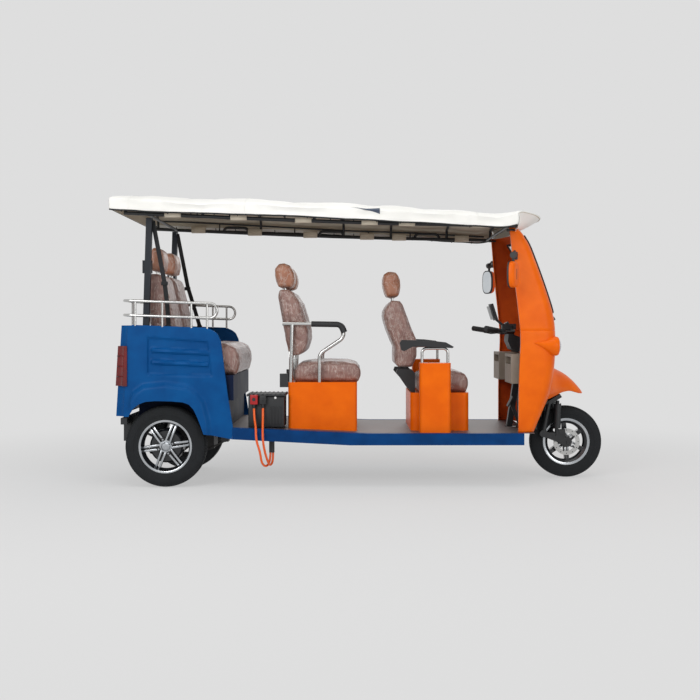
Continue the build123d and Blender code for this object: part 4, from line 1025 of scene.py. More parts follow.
@dataclass
class Canopy(Assembly):
    """Fabric canopy: cover sagging between its bows, lining, piping, hooks and stripe."""

    half_width: float = 0.585
    valance: float = 0.080
    peak_start: float = 0.918
    peak_tip: float = 1.155
    rear: float = -1.569
    stations: tuple[tuple[float, float, float], ...] = (
        (-1.569, 1.815, 1.715), (-1.530, 1.852, 1.711), (-1.120, 1.844, 1.689),
        (-0.742, 1.834, 1.682),
        (-0.229, 1.811, 1.660), (0.180, 1.788, 1.638), (0.681, 1.751, 1.611),
        (0.841, 1.736, 1.599), (1.010, 1.723, 1.646), (1.165, 1.705, 1.680))
    bows: tuple[float, ...] = (-1.530, -1.347, -0.742, -0.148, 0.192, 0.592, 0.905)
    corner_turn: float = 0.82
    corner_drop: float = 0.008
    sag_depth: float = 0.010
    fold_depth: float = 0.004
    wave_height: float = 0.0026

    def _front(self, y: float) -> float:
        """Gives the X of the curved peak's edge at a Y."""
        depth, half = self.peak_tip - self.peak_start, self.half_width + 0.005
        bend = (half * half + depth * depth) / (2 * depth)
        return self.peak_tip - bend + math.sqrt(max(bend * bend - y * y, 0.0))

    def _sag(self, x: float) -> float:
        """Gives how deep the cloth hangs between its bows at an X, from 0 to 1."""
        for one, two in zip(self.bows, self.bows[1:]):
            if one <= x <= two:
                return math.sin(math.pi * (x - one) / (two - one)) ** 2 * min(
                    (two - one) / 0.5, 1.0)
        return 0.0

    def _slack(self, x: float, y: float, side: float) -> float:
        """Gives how far the cloth hangs below its bows' line at a place.

        Args:
            x: Place along the vehicle.
            y: Distance from the centre plane.
            side: 1 on the left, -1 on the right.

        Returns:
            Drop in metres.
        """
        sag = self._sag(x)
        fold = abs(math.sin(19.0 * x + 3.1 * y)) ** 3
        return (self.sag_depth * sag - self.wave_height * wavy(x, side * y, 0.0, 0.16)
                + self.fold_depth * sag * fold)

    def point(self, x: float, turn: float, lift: float = 0.0) -> Point:
        """Gives a point on the cover.

        Args:
            x: Place along the vehicle.
            turn: Place across, from -1 at the right hem through 0 to 1 at the left hem.
            lift: Distance above or outside the cover.

        Returns:
            The point in metres.
        """
        crown = eased(self.stations, x, 1, 0.05)
        hem = eased(self.stations, x, 2, 0.05)
        shoulder = min(hem + self.valance, crown - 0.020)
        side = math.copysign(1.0, turn)
        share = abs(turn)
        half = self.half_width
        rise = crown - shoulder
        bend = (half * half + rise * rise) / (2 * rise)
        if share <= self.corner_turn:
            y = half * share / self.corner_turn
            z = crown - bend + math.sqrt(bend * bend - y * y) - self._slack(x, y, side)
            corner = smoothstep(0.70, self.corner_turn, share)
            z -= self.corner_drop * corner * corner
            y -= 0.004 * corner
            lean = y / bend
            return (x, side * (y + lift * lean), z + lift)
        part = (share - self.corner_turn) / (1 - self.corner_turn)
        pull = self._sag(x)
        edge = shoulder - self.corner_drop - self._slack(x, half, side) + min(lift, 0.0)
        z = edge - (edge - hem - 0.004 * pull) * part
        ripple = 0.004 * math.sin(47 * x + 2 * math.sin(11 * x)) * part
        y = half - 0.004 - 0.014 * pull * math.sin(math.pi * part) - 0.003 * part
        return (x, side * (y + min(ripple, 0.002) + lift), z)

    def _cover(self, name: str, lift: float, finish: Finish, replaces: Sequence[str],
               hem_turn: float) -> bpy.types.Object:
        """Makes one full sheet over the bows.

        Args:
            name: Name of the piece.
            lift: Distance above the cover's own line, below it if negative.
            finish: Cloth of the sheet.
            replaces: CAD nodes that the sheet stands for.
            hem_turn: How far across the sheet goes, 1 at the hem.

        Returns:
            The sheet.
        """
        back = 0.05

        def spot(u: float, v: float) -> Point:
            turn = (2 * v - 1) * hem_turn
            if u < back:
                x, y, z = self.point(self.rear + (0.010 if lift < -0.005 else 0.001), turn, lift)
                fall = 1 - u / back
                hem = self.stations[0][2]
                return (x, y, z - fall * max(z - hem, 0.0))
            wide = self.point(0.0, turn)[1]
            front = self._front(wide) - (0.004 if lift < 0 else 0.0)
            x = self.rear + (u - back) / (1 - back) * (front - self.rear)
            if lift < -0.005:
                x = max(x, self.rear + 0.010)
            return self.point(x, turn, lift)

        mesh = grid_surface(168, 72, spot)
        made = self.piece(name, mesh, [finish], "canopy_fabric", replaces, sharp_deg=55)
        self.modifier(made, "SOLIDIFY", thickness=0.0022, offset=-1.0)
        return made

    def _nose(self, u: float, v: float) -> Point:
        """Places the cloth that closes the canopy from its peak back to the shell's top."""
        turn = 1.998 * u - 0.999
        wide = abs(self.point(0.0, turn)[1])
        edge = Vector(self.point(self._front(wide), turn, -0.0005))
        share = min(abs(turn) / 0.82, 1.0)
        low = 1.0 - max(abs(turn) - 0.82, 0.0) / 0.18
        seat = Vector((0.985 - 0.050 * share ** 3, math.copysign(0.425 * share ** 0.9, turn),
                       1.598 + 0.022 * low - 0.006 * share))
        spot = edge.lerp(seat, v)
        hang = math.sin(math.pi * v)
        spot.z -= 0.008 * hang * (1 - share)
        spot.x += 0.004 * hang * wavy(1.0, turn * 0.6, v * 0.3, 0.2)
        return tuple(spot)

    def _hem_line(self, side: float, lift: float) -> list[Point]:
        """Gives points along a side hem from rear to front."""
        steps = 150
        span = self.peak_start - self.rear
        return [self.point(self.rear + span * i / steps, side, lift) for i in range(steps + 1)]

    def build(self) -> None:
        """Makes the cover, its lining and its trim."""
        cover = self._cover("canopy_cover", -0.0005, CANOPY_CLOTH, ["canopy"], 1.0)
        lining = self._cover("canopy_lining", -0.0075, LINING_CLOTH, (), 0.93)
        nose = self.piece("canopy_nose", grid_surface(90, 16, self._nose), [CANOPY_CLOTH],
                          "canopy_fabric", sharp_deg=60, turn_out=False)
        self.modifier(nose, "SOLIDIFY", thickness=0.002, offset=0.0)
        trim = bmesh.new()
        for side in (-1.0, 1.0):
            add_tube(trim, self._hem_line(side, -0.002), 0.0048, 8)
        rear_line = [(self.rear + 0.004, -0.575 + 0.0115 * i, self.stations[0][2] + 0.004)
                     for i in range(101)]
        add_tube(trim, rear_line, 0.0042, 8)
        for side in (-1.0, 1.0):
            for index in range(18):
                x = -1.50 + 0.1420 * index
                base = self.point(x, side, -0.002)
                add_tube(trim, [base, (base[0] + 0.002, base[1] - side * 0.012, base[2] - 0.008),
                                (base[0] + 0.004, base[1] - side * 0.026, base[2] + 0.002),
                                (base[0] + 0.004, base[1] - side * 0.040, base[2] + 0.014)],
                         0.0026, 8)
        piping = self.piece("canopy_piping", trim, [WEBBING], "belt_web", sharp_deg=60)
        seams = bmesh.new()
        for x in (-1.452, -0.742, 0.083, 0.681):
            line = [self.point(x, -0.995 + 1.99 * i / 70, 0.0008) for i in range(71)]
            add_tube(seams, line, 0.0011, 6)
        bands = self.piece("canopy_seams", seams, [CANOPY_CLOTH], "canopy_fabric",
                           sharp_deg=60)
        stripe = self.piece("canopy_stripe", grid_surface(44, 14, self._stripe),
                            [STRIPE_CLOTH], "canopy_fabric", sharp_deg=60, turn_out=False)
        for made in (bands, stripe):
            made.parent = None

    def _stripe(self, u: float, v: float) -> Point:
        """Places the thin slate-blue wedge on the right side of the cover."""
        x = -0.106 + 0.188 * u
        upper = 0.800 - 0.03 * u
        lower = upper + 0.115 * u * u + 0.003
        return self.point(x, -(upper + (lower - upper) * v), 0.0012)

    @staticmethod
    def _area(made: bpy.types.Object) -> float:
        """Gives the area of a sheet's faces in square metres."""
        return round(sum(face.area for face in made.data.polygons), 4)


@dataclass
class RoofFrame(Assembly):
    """Bent tubes that carry the canopy, with grab handles and the tabs that lace its lining."""

    rail_y: float = 0.520
    rail_radius: float = 0.0115
    rail: tuple[tuple[float, float], ...] = (
        (-1.490, 1.698), (-0.742, 1.665), (-0.229, 1.645), (0.180, 1.633), (0.930, 1.618))
    upper: tuple[tuple[float, float], ...] = (
        (-1.478, 1.756), (-1.240, 1.749), (-0.742, 1.722), (-0.102, 1.687), (0.300, 1.675),
        (0.860, 1.644))
    bow_x: tuple[float, ...] = (-1.480, -0.742, -0.148, 0.192, 0.592, 0.905)
    grip_x: tuple[float, ...] = (-0.921, -0.236, 0.450)
    tab_x: tuple[float, ...] = (-1.190, -0.785, -0.387, 0.020, 0.250, 0.700)

    def build(self) -> None:
        """Makes the tubes, the handles and the tabs."""
        mesh, cover, clear = bmesh.new(), Canopy(), 0.019
        route = rounded_route([(x, self.rail_y, z) for x, z in self.rail], 0.3, 6)
        add_tube(mesh, route, self.rail_radius, 18)
        add_tube(mesh, rounded_route([(x, 0.528, z) for x, z in self.upper], 0.3, 5), 0.0062, 12)
        for x in self.grip_x:
            z = along(self.rail, x)
            add_tube(mesh, rounded_route([
                (x - 0.092, self.rail_y, z), (x - 0.076, self.rail_y, z + 0.037),
                (x + 0.076, self.rail_y, z + 0.035), (x + 0.092, self.rail_y, z - 0.003)],
                0.034), 0.0098, 14)
        for x in (-1.040, -0.500, 0.030, 0.330, 0.720):
            z = along(self.rail, x)
            add_rod(mesh, (x, self.rail_y, z), (x, 0.532, along(self.upper, x)), 0.0045, 10)
        add_box(mesh, (0.880, 0.395, 1.596), (0.930, 0.430, 1.608), 2.0, 2)
        mirror_across(mesh)
        for x in self.bow_x:
            rail_z = along(self.rail, x)
            half = [(self.rail_y, rail_z), (self.rail_y, cover.point(x, 0.729, -clear)[2]),
                    (0.270, cover.point(x, 0.378, -clear)[2])]
            line = [(x, y, z) for y, z in half] + [(x, 0.0, cover.point(x, 0.0, -clear)[2])]
            line += [(x, -y, z) for y, z in reversed(half)]
            add_tube(mesh, rounded_route(line, 0.06), 0.009, 14)
        for x in (-1.347, 0.880):
            z = along(self.rail, x)
            add_rod(mesh, (x, -self.rail_y, z), (x, self.rail_y, z), 0.009, 16)
        add_tube(mesh, [(x, 0.0, cover.point(x, 0.0, -clear - 0.012)[2]) for x in self.bow_x],
                 0.008, 12)
        self.piece("roof_tubes", mesh, [FRAME_BLACK], "frame_black", ["roof_frame"],
                   sharp_deg=40)
        self._tabs()

    def _tabs(self) -> None:
        """Makes the beige cloth tabs that lace the lining to the side rails."""
        mesh, gap = bmesh.new(), self.rail_radius + 0.0015
        for x in self.tab_x:
            z = along(self.rail, x)
            strip = [(self.rail_y - gap, z + 0.030), (self.rail_y - gap, z),
                     (self.rail_y - 0.7 * gap, z - 0.9 * gap), (self.rail_y, z - gap - 0.0015),
                     (self.rail_y + 0.7 * gap, z - 0.9 * gap), (self.rail_y + gap, z),
                     (self.rail_y + gap, z + 0.034)]
            verts = [mesh.verts.new((x - 0.050, y, level)) for y, level in strip]
            edges = [mesh.edges.new(pair) for pair in zip(verts, verts[1:])]
            moved = bmesh.ops.extrude_edge_only(mesh, edges=edges)["geom"]
            bmesh.ops.translate(mesh, vec=(0.100, 0, 0), verts=[
                v for v in moved if isinstance(v, bmesh.types.BMVert)])
        mirror_across(mesh)
        tabs = self.piece("lining_tabs", mesh, [LINING_CLOTH], "canopy_fabric", sharp_deg=60)
        self.modifier(tabs, "SOLIDIFY", thickness=0.0018, offset=0.0)


@dataclass
class Pad:
    """One stuffed pad: a side outline carried across, then blown up as cloth."""

    name: str
    outline: tuple[tuple[float, float], ...]
    y_low: float
    y_high: float
    nodes: tuple[str, ...] = ()
    fill: float = 0.7
    swell: float = 4.0
    cap_mm: float = 10.0
    corner_mm: float = 26.0
    flutes: int = 0
    voxel_mm: float = 7.0
    finish: Finish = WRAPPED_VINYL


@dataclass
class Seats(Assembly):
    """Cushions, backs and headrests under clear wrapping."""

    @staticmethod
    def _shrunk(pad: Pad) -> bmesh.types.BMesh:
        """Makes the starting form of a pad, a little smaller than its space.

        Args:
            pad: The pad to make.

        Returns:
            Its closed form.
        """
        mesh = bmesh.new()
        verts = [mesh.verts.new((x * MM, pad.y_low * MM, z * MM)) for x, z in pad.outline]
        face = mesh.faces.new(verts)
        moved = bmesh.ops.extrude_face_region(mesh, geom=[face])["geom"]
        bmesh.ops.translate(mesh, vec=(0, (pad.y_high - pad.y_low) * MM, 0),
                            verts=[v for v in moved if isinstance(v, bmesh.types.BMVert)])
        bmesh.ops.recalc_face_normals(mesh, faces=mesh.faces[:])
        ends = [e for e in mesh.edges if abs(e.verts[0].co.y - e.verts[1].co.y) < 1e-6]
        bmesh.ops.bevel(mesh, geom=ends, offset=pad.corner_mm * MM, affect="EDGES", segments=5,
                        profile=0.5, material=-1, clamp_overlap=True)
        middle = sum((v.co for v in mesh.verts), Vector()) / len(mesh.verts)
        for vert in mesh.verts:
            vert.co = middle + (vert.co - middle) * 0.985
        return mesh

    def _blown(self, pad: Pad, start: bmesh.types.BMesh) -> bpy.types.Mesh:
        """Remeshes a form and blows it up as cloth, held within the pad's cap.

        Args:
            pad: The pad's settings.
            start: Its starting form, which is freed.

        Returns:
            The finished mesh.
        """
        data = bpy.data.meshes.new(pad.name)
        bmesh.ops.triangulate(start, faces=start.faces[:])
        start.to_mesh(data)
        start.free()
        body = linked(pad.name + "_form", data)
        remesh = body.modifiers.new("remesh", "REMESH")
        remesh.mode = "VOXEL"
        remesh.voxel_size = pad.voxel_mm * MM
        before = self._baked(body)
        body.modifiers.clear()
        body.data = before.copy()
        cloth = body.modifiers.new("cloth", "CLOTH")
        cloth.settings.use_pressure = True
        cloth.settings.uniform_pressure_force = pad.swell
        cloth.settings.effector_weights.gravity = 0.0
        cloth.settings.quality = 4
        cloth.point_cache.frame_start = 1
        cloth.point_cache.frame_end = 20
        for frame in range(1, 21):
            bpy.context.scene.frame_set(frame)
        after = self._baked(body)
        bpy.context.scene.frame_set(1)
        cap = pad.cap_mm * MM
        for old, new in zip(before.vertices, after.vertices):
            move = new.co - old.co
            if move.length > cap:
                new.co = old.co + move * (cap / move.length)
        bpy.data.objects.remove(body)
        return after

    @staticmethod
    def _baked(body: bpy.types.Object) -> bpy.types.Mesh:
        """Gives a new mesh of an object with its modifiers applied."""
        graph = bpy.context.evaluated_depsgraph_get()
        graph.update()
        return bpy.data.meshes.new_from_object(body.evaluated_get(graph))

    @staticmethod
    def _sewn(pad: Pad, mesh: bmesh.types.BMesh) -> None:
        """Presses sewn channels, a belt line and loose creases into a pad.

        Args:
            pad: The pad's settings.
            mesh: Its blown form.
        """
        xs = [x for x, _ in pad.outline]
        zs = [z for _, z in pad.outline]
        span_y = (pad.y_high - pad.y_low) * MM
        mid_y = (pad.y_high + pad.y_low) / 2 * MM
        tall = max(zs) - min(zs) > 1.1 * (max(xs) - min(xs))
        for vert in mesh.verts:
            place, normal = vert.co.copy(), vert.normal.copy()
            share = (place.y - mid_y) / span_y
            push = 0.0018 * wavy(place.x, place.y, place.z * 2, 0.05)
            push += 0.0010 * wavy(place.x, place.y * 2, place.z, 0.018)
            facing = normal.x if tall else normal.z
            if pad.flutes and facing > 0.3 and abs(share) < 0.32:
                wave = abs(math.sin(math.pi * (share + 0.32) / 0.64 * pad.flutes))
                push -= 0.006 * (1 - wave) ** 3 * facing
            seam = abs(abs(share) - 0.36)
            if facing > 0.2 and seam < 0.02:
                push -= 0.005 * (1 - seam / 0.02)
            vert.co = place + normal * push

    def add(self, pads: Iterable[Pad]) -> None:
        """Makes each pad, and its mirror image where it stands to one side.

        Args:
            pads: The pads of one seat row.
        """
        for pad in pads:
            data = self._blown(pad, self._shrunk(pad))
            mesh = bmesh.new()
            mesh.from_mesh(data)
            bpy.data.meshes.remove(data)
            mesh.normal_update()
            self._sewn(pad, mesh)
            if pad.y_low > 0:
                mirror_across(mesh)
            made = self.piece(pad.name, mesh, [pad.finish], "seat_vinyl", pad.nodes,
                              sharp_deg=180)
            self.modifier(made, "SUBSURF", levels=1, render_levels=1)

    def build(self) -> None:
        """Makes all three rows and their headrest stays."""
        rear_back = ((-1192, 699), (-1192, 880), (-1205, 980), (-1240, 1150), (-1285, 1320),
                     (-1310, 1340), (-1375, 1340), (-1394, 1320), (-1347, 900), (-1325, 699))
        rear_head = ((-1294, 1354), (-1282, 1420), (-1296, 1485), (-1320, 1500), (-1350, 1500),
                     (-1372, 1480), (-1376, 1400), (-1368, 1354))
        mid_back = ((-476, 800), (-424, 812), (-386, 850), (-369, 912), (-374, 980),
                    (-395, 1060), (-424, 1151), (-470, 1226), (-500, 1240), (-546, 1240),
                    (-560, 1225), (-528, 1041), (-505, 912))
        mid_head = ((-470, 1250), (-456, 1290), (-462, 1345), (-486, 1392), (-520, 1406),
                    (-560, 1402), (-584, 1370), (-578, 1310), (-560, 1250))
        front_back = ((207, 727), (300, 727), (327, 803), (321, 916), (284, 1010), (258, 1083),
                      (222, 1174), (162, 1176), (120, 1110), (119, 1070), (144, 983), (191, 869),
                      (194, 760))
        front_head = ((216, 1192), (227, 1250), (221, 1330), (200, 1358), (150, 1362),
                      (118, 1340), (116, 1270), (140, 1192))
        self.add([
            Pad("rear_seat_pad", self._cushion(-1188, -790, 697, 892), -434, 434,
                ("rear_cushion",), 0.7, 3.0, 9.0, 45.0, 8, 8.0),
            Pad("rear_back_pads", rear_back, 42, 398, ("rear_seat_backs",), 0.65, 4.0, 8.0, 24.0,
                6),
            Pad("rear_head_pads", rear_head, 118, 352, (), 0.8, 4.0, 7.0, 30.0, 0, 6.0,
                WRAPPED_TAN),
            Pad("mid_seat_pad", self._cushion(-470, -22, 648, 772), -328, 328, ("mid_cushion",),
                0.7, 3.0, 9.0, 42.0, 6, 7.0),
            Pad("mid_back_pads", mid_back, 10, 326, ("mid_seat_backs",), 0.65, 4.0, 8.0, 26.0, 5),
            Pad("mid_head_pads", mid_head, 62, 274, (), 0.8, 4.0, 7.0, 30.0, 0, 6.0,
                WRAPPED_TAN),
            Pad("driver_seat_pad", self._cushion(322, 669, 577, 708), -248, 248,
                ("driver_cushion",), 0.7, 3.0, 9.0, 40.0, 5, 7.0),
            Pad("driver_back_pad", front_back, -233, 233, ("driver_seat_back",), 0.65, 4.0, 8.0,
                28.0, 5),
            Pad("driver_head_pad", front_head, -118, 118, (), 0.8, 4.0, 7.0, 30.0, 0, 6.0,
                WRAPPED_TAN),
        ])
        stays = bmesh.new()
        for x_low, x_high, z_low, z_high, ys in (
                (-1338, -1334, 1330, 1368, (190, 280, -190, -280)),
                (-520, -520, 1225, 1266, (128, 208, -128, -208)),
                (180, 178, 1165, 1205, (45, -45))):
            for y in ys:
                add_rod(stays, (x_low * MM, y * MM, z_low * MM),
                        (x_high * MM, y * MM, z_high * MM), 0.0065)
        for y in (50, 286, -50, -286):
            add_box(stays, (-0.489, (y - 14) * MM, 0.648), (-0.476, (y + 14) * MM, 0.84), 1.5)
        self.piece("headrest_stays", stays, [STAINLESS], "stainless")

    @staticmethod
    def _cushion(x_low: float, x_high: float, z_low: float,
                 z_high: float) -> tuple[tuple[float, float], ...]:
        """Gives a cushion's side outline: flat below, rounded nose, slightly crowned."""
        tall, long = z_high - z_low, x_high - x_low
        return ((x_low + 6, z_low), (x_high - 14, z_low), (x_high, z_low + 0.3 * tall),
                (x_high - 2, z_low + 0.62 * tall), (x_high - 0.05 * long, z_low + 0.86 * tall),
                (x_high - 0.2 * long, z_low + 0.97 * tall), (x_high - 0.45 * long, z_high),
                (x_low + 0.25 * long, z_low + 0.97 * tall),
                (x_low + 0.06 * long, z_low + 0.86 * tall), (x_low, z_low + 0.55 * tall),
                (x_low, z_low + 0.2 * tall))


def within(outline: Sequence[tuple[float, float]], x: float, z: float) -> float:
    """Gives how deep a point lies inside a convex outline.

    Args:
        outline: Corners in order.
        x: First place of the point.
        z: Second place of the point.

    Returns:
        Distance to the nearest side, negative outside.
    """
    turn = 0.0
    for (x1, z1), (x2, z2) in zip(outline, outline[1:] + outline[:1]):
        turn += x1 * z2 - x2 * z1
    sign = 1.0 if turn > 0 else -1.0
    nearest = 1e9
    for (x1, z1), (x2, z2) in zip(outline, outline[1:] + outline[:1]):
        length = math.hypot(x2 - x1, z2 - z1)
        nearest = min(nearest, sign * ((x2 - x1) * (z - z1) - (z2 - z1) * (x - x1)) / length)
    return nearest


@dataclass
class TubSides(Assembly):
    """Stamped steel sides of the rear tub, with arch flares and rolled rims."""

    face_y: float = 0.490
    sheet: float = 0.005
    cell: float = 0.0085
    outline: tuple[tuple[float, float], ...] = (
        (-1.450, 1.004), (-0.985, 0.986), (-0.962, 0.981), (-0.942, 0.971), (-0.926, 0.955),
        (-0.913, 0.934), (-0.904, 0.908), (-0.862, 0.576), (-0.829, 0.372), (-0.830, 0.301),
        (-1.003, 0.335), (-1.022, 0.392), (-1.042, 0.442), (-1.064, 0.488), (-1.092, 0.518),
        (-1.130, 0.532), (-1.200, 0.538), (-1.300, 0.540), (-1.360, 0.535), (-1.400, 0.520),
        (-1.436, 0.492), (-1.450, 0.474))
    panel: tuple[tuple[float, float], ...] = (
        (-1.358, 0.937), (-0.976, 0.909), (-0.949, 0.687), (-1.358, 0.696))
    flare: tuple[tuple[float, float], ...] = (
        (-1.500, 0.500), (-1.440, 0.602), (-1.380, 0.644), (-1.244, 0.658), (-1.108, 0.640),
        (-1.040, 0.600), (-0.995, 0.540), (-0.962, 0.420), (-0.950, 0.250), (-1.500, 0.250))
    ribs: tuple[float, ...] = (0.843, 0.771)

    def _relief(self, x: float, z: float) -> float:
        """Gives how far the sheet stands out of its plane at a place, in metres."""
        depth = -0.012 * smoothstep(0.0, 0.013, within(self.panel, x, z))
        for level in self.ribs:
            line = level - (x + 1.15) * 0.05
            ends = smoothstep(-1.336, -1.320, x) * (1 - smoothstep(-0.985, -0.968, x))
            depth += 0.016 * ends * smoothstep(0.019, 0.006, abs(z - line))
        depth += 0.031 * smoothstep(-0.006, 0.034, within(self.flare, x, z))
        depth += 0.0006 * wavy(x, z, 0.3, 0.25)
        return depth

    def build(self) -> None:
        """Makes both sides with their rims."""
        mesh = bmesh.new()
        face = mesh.faces.new([mesh.verts.new((x, 0.0, z)) for x, z in self.outline])
        face.normal_update()
        x_low, x_high = min(x for x, _ in self.outline), max(x for x, _ in self.outline)
        z_low, z_high = min(z for _, z in self.outline), max(z for _, z in self.outline)
        for axis, low, high in ((0, x_low, x_high), (2, z_low, z_high)):
            steps = int((high - low) / self.cell)
            for index in range(1, steps):
                spot, normal = [0.0, 0.0, 0.0], [0.0, 0.0, 0.0]
                spot[axis] = low + (high - low) * index / steps + 0.00013
                normal[axis] = 1.0
                bmesh.ops.bisect_plane(mesh, geom=mesh.verts[:] + mesh.edges[:] + mesh.faces[:],
                                       dist=0.00001, plane_co=spot, plane_no=normal)
        for vert in mesh.verts:
            vert.co.y = self.face_y + self._relief(vert.co.x, vert.co.z)
        bmesh.ops.solidify(mesh, geom=mesh.faces[:], thickness=self.sheet)
        low_y = min(vert.co.y for vert in mesh.verts)
        if low_y > self.face_y - 0.012:
            bmesh.ops.translate(mesh, vec=(0, -self.sheet * 0.5, 0), verts=mesh.verts[:])
        rim = [(x, self.face_y - 0.006, z) for x, z in self.outline[:9]]
        route = rounded_route([rim[0], rim[1], rim[4], rim[6], rim[7], rim[8]], 0.05, 5)
        add_tube(mesh, route, 0.0058, 12)
        mirror_across(mesh)
        self.piece("tub_side_panels", mesh, [BLUE_PAINT], "blue_paint", ["tub_sides"],
                   sharp_deg=40)


@dataclass
class FrontShell(Assembly):
    """Front shell in fibreglass, with screen opening, wheel arch, glass, seal and beak."""

    wall: float = 0.004
    glass_half: float = 0.345
    glass_low: float = 1.090
    glass_top: float = 1.570
    arch_half: float = 0.240
    arch_top: float = 0.560
    # height, rear x, front x, half width, depth of the front's curve
    draw_in: float = 0.026
    stations: tuple[tuple[float, ...], ...] = (
        (0.336, 0.950, 1.098, 0.438, 0.053), (0.354, 0.950, 1.110, 0.440, 0.058),
        (0.505, 0.951, 1.178, 0.445, 0.066), (0.575, 0.951, 1.216, 0.448, 0.078),
        (0.740, 0.955, 1.232, 0.450, 0.060), (0.936, 0.965, 1.239, 0.450, 0.058),
        (1.076, 0.951, 1.225, 0.450, 0.057), (1.245, 0.932, 1.172, 0.445, 0.057),
        (1.400, 0.917, 1.118, 0.438, 0.057), (1.556, 0.903, 1.058, 0.430, 0.056),
        (1.600, 0.899, 1.028, 0.425, 0.058), (1.618, 0.897, 1.000, 0.422, 0.062))
    across: tuple[tuple[float, float], ...] = (
        (0.0, -0.024), (0.02, 0.0), (0.20, 1.0), (0.28, 0.345), (0.36, 0.240), (0.5, 0.0))
    levels: tuple[tuple[float, float], ...] = (
        (0.0, 0.336), (0.18, 0.560), (0.42, 0.9715), (0.43, 0.9735), (0.44, 0.975),
        (0.45, 0.9765), (0.46, 0.9785), (0.54, 1.090), (0.92, 1.570), (1.0, 1.618))

    def _plan(self, u: float, z: float) -> Point:
        """Gives a point of the shell's skin before its corners are eased."""
        rear = eased(self.stations, z, 1, 0.06)
        front = eased(self.stations, z, 2, 0.06)
        half = eased(self.stations, z, 3, 0.06)
        depth = eased(self.stations, z, 4, 0.06)
        side = -1.0 if u < 0.5 else 1.0
        part = u if u < 0.5 else 1.0 - u
        if part < 0.02:
            return (rear, side * (half + along(self.across, part)), z)
        side_x = front - depth
        if part < 0.20:
            run = (part - 0.02) / 0.18
            return (rear + (side_x - rear) * run, side * (half - self.draw_in * run), z)
        wide = half - self.draw_in
        if part < 0.28:
            y = wide + (self.glass_half - wide) * (part - 0.20) / 0.08
        else:
            y = along(self.across, part)
        bend = (wide * wide + depth * depth) / (2 * depth)
        return (front - bend + math.sqrt(max(bend * bend - y * y, 0.0)), side * y, z)

    def skin(self, u: float, z: float, sink: float = 0.0) -> Point:
        """Gives a point of the shell's skin.

        Args:
            u: Share across from the right rear edge to the left rear edge.
            z: Height in metres.
            sink: Distance below the skin.

        Returns:
            The point in metres.
        """
        part = u if u < 0.5 else 1.0 - u
        reach = 0.05 * smoothstep(0.05, 0.14, part) * (1 - smoothstep(0.235, 0.28, part))
        if reach > 0:
            spots = [Vector(self._plan(u + reach * k, z)) for k in (-1, -0.66, -0.33, 0, 0.33,
                                                                   0.66, 1)]
            spot = sum(spots, Vector()) / len(spots)
        else:
            spot = Vector(self._plan(u, z))
        if sink:
            beside = Vector(self._plan(min(u + 0.004, 0.99), z)) - Vector(
                self._plan(max(u - 0.004, 0.01), z))
            out = Vector((beside.y, -beside.x, 0)).normalized()
            spot -= out * sink
        return tuple(spot)

    def _height(self, v: float) -> float:
        """Gives the height at a share of the grid's rows."""
        return along(self.levels, v)

    def build(self) -> None:
        """Makes the shell, its wheel well, glass, seal, beak and pods."""
        def spot(u: float, v: float) -> Point:
            z = self._height(v)
            groove = 0.0028 * smoothstep(0.0022, 0.0004, abs(z - 0.975))
            return self.skin(u, z, groove)

        mesh = grid_surface(100, 100, spot)
        gone = []
        for face in mesh.faces:
            x, y, z = face.calc_center_median()
            if x > 1.0 and abs(y) < self.glass_half and self.glass_low < z < self.glass_top:
                gone.append(face)
            if x > 1.0 and abs(y) < self.arch_half and z < self.arch_top:
                gone.append(face)
        bmesh.ops.delete(mesh, geom=gone, context="FACES")
        shell = self.piece("front_cowl", mesh, [ORANGE_PAINT, ORANGE_INSIDE_SHADE], "orange_paint",
                           ["front_shell"], sharp_deg=32)
        self._face_out(shell)
        # The inner faces take the inside finish, a darker orange that is painted shade.
        self.modifier(shell, "SOLIDIFY", thickness=self.wall, offset=-1.0, material_offset=1)
        well = bmesh.new()
        add_box(well, (1.051, -0.244, 0.338), (1.055, 0.244, 0.562), 1.0)
        add_box(well, (1.051, -0.244, 0.560), (1.156, 0.244, 0.564), 1.0)
        for side in (-1, 1):
            y_one, y_two = sorted((side * 0.062, side * 0.244))
            add_box(well, (1.150, y_one, 0.560), (1.180, y_two, 0.564), 1.0)
            y_one, y_two = sorted((side * 0.240, side * 0.244))
            add_box(well, (1.051, y_one, 0.338), (1.100, y_two, 0.562), 1.0)
            add_box(well, (1.098, y_one, 0.420), (1.130, y_two, 0.562), 1.0)
            add_box(well, (1.128, y_one, 0.500), (1.168, y_two, 0.562), 1.0)
        self.piece("wheel_well", well, [BLACK_ABS], "black_plastic")
        self._glass()
        self._beak()
        self._pods()

    @staticmethod
    def _face_out(made: bpy.types.Object) -> None:
        """Turns an open skin so that its faces point away from the cab."""
        facing = sum(poly.normal.x * poly.area for poly in made.data.polygons)
        if facing < 0:
            made.data.flip_normals()

    def _glass(self) -> None:
        """Makes the screen and its black seal."""
        def pane(u: float, v: float) -> Point:
            z = self.glass_low + 0.0015 + (self.glass_top - self.glass_low - 0.003) * v
            return self.skin(0.281 + 0.438 * u, z, 0.001)

        glass = self.piece("screen_pane", grid_surface(44, 40, pane), [Glass()],
                           "screen_glass", ["windscreen"], sharp_deg=60)
        self._face_out(glass)
        self.modifier(glass, "SOLIDIFY", thickness=0.0045, offset=-1.0)
        seal = bmesh.new()
        ring = []
        for step in range(24):
            ring.append(self.skin(0.28 + 0.44 * step / 24, self.glass_low, -0.001))
        for step in range(24):
            ring.append(self.skin(0.72, self.glass_low
                                  + (self.glass_top - self.glass_low) * step / 24, -0.001))
        for step in range(24):
            ring.append(self.skin(0.72 - 0.44 * step / 24, self.glass_top, -0.001))
        for step in range(25):
            ring.append(self.skin(0.28, self.glass_top
                                  - (self.glass_top - self.glass_low) * step / 24, -0.001))
        add_tube(seal, ring, 0.0075, 10)
        self.piece("screen_seal", seal, [WEBBING], "black_plastic", sharp_deg=60)

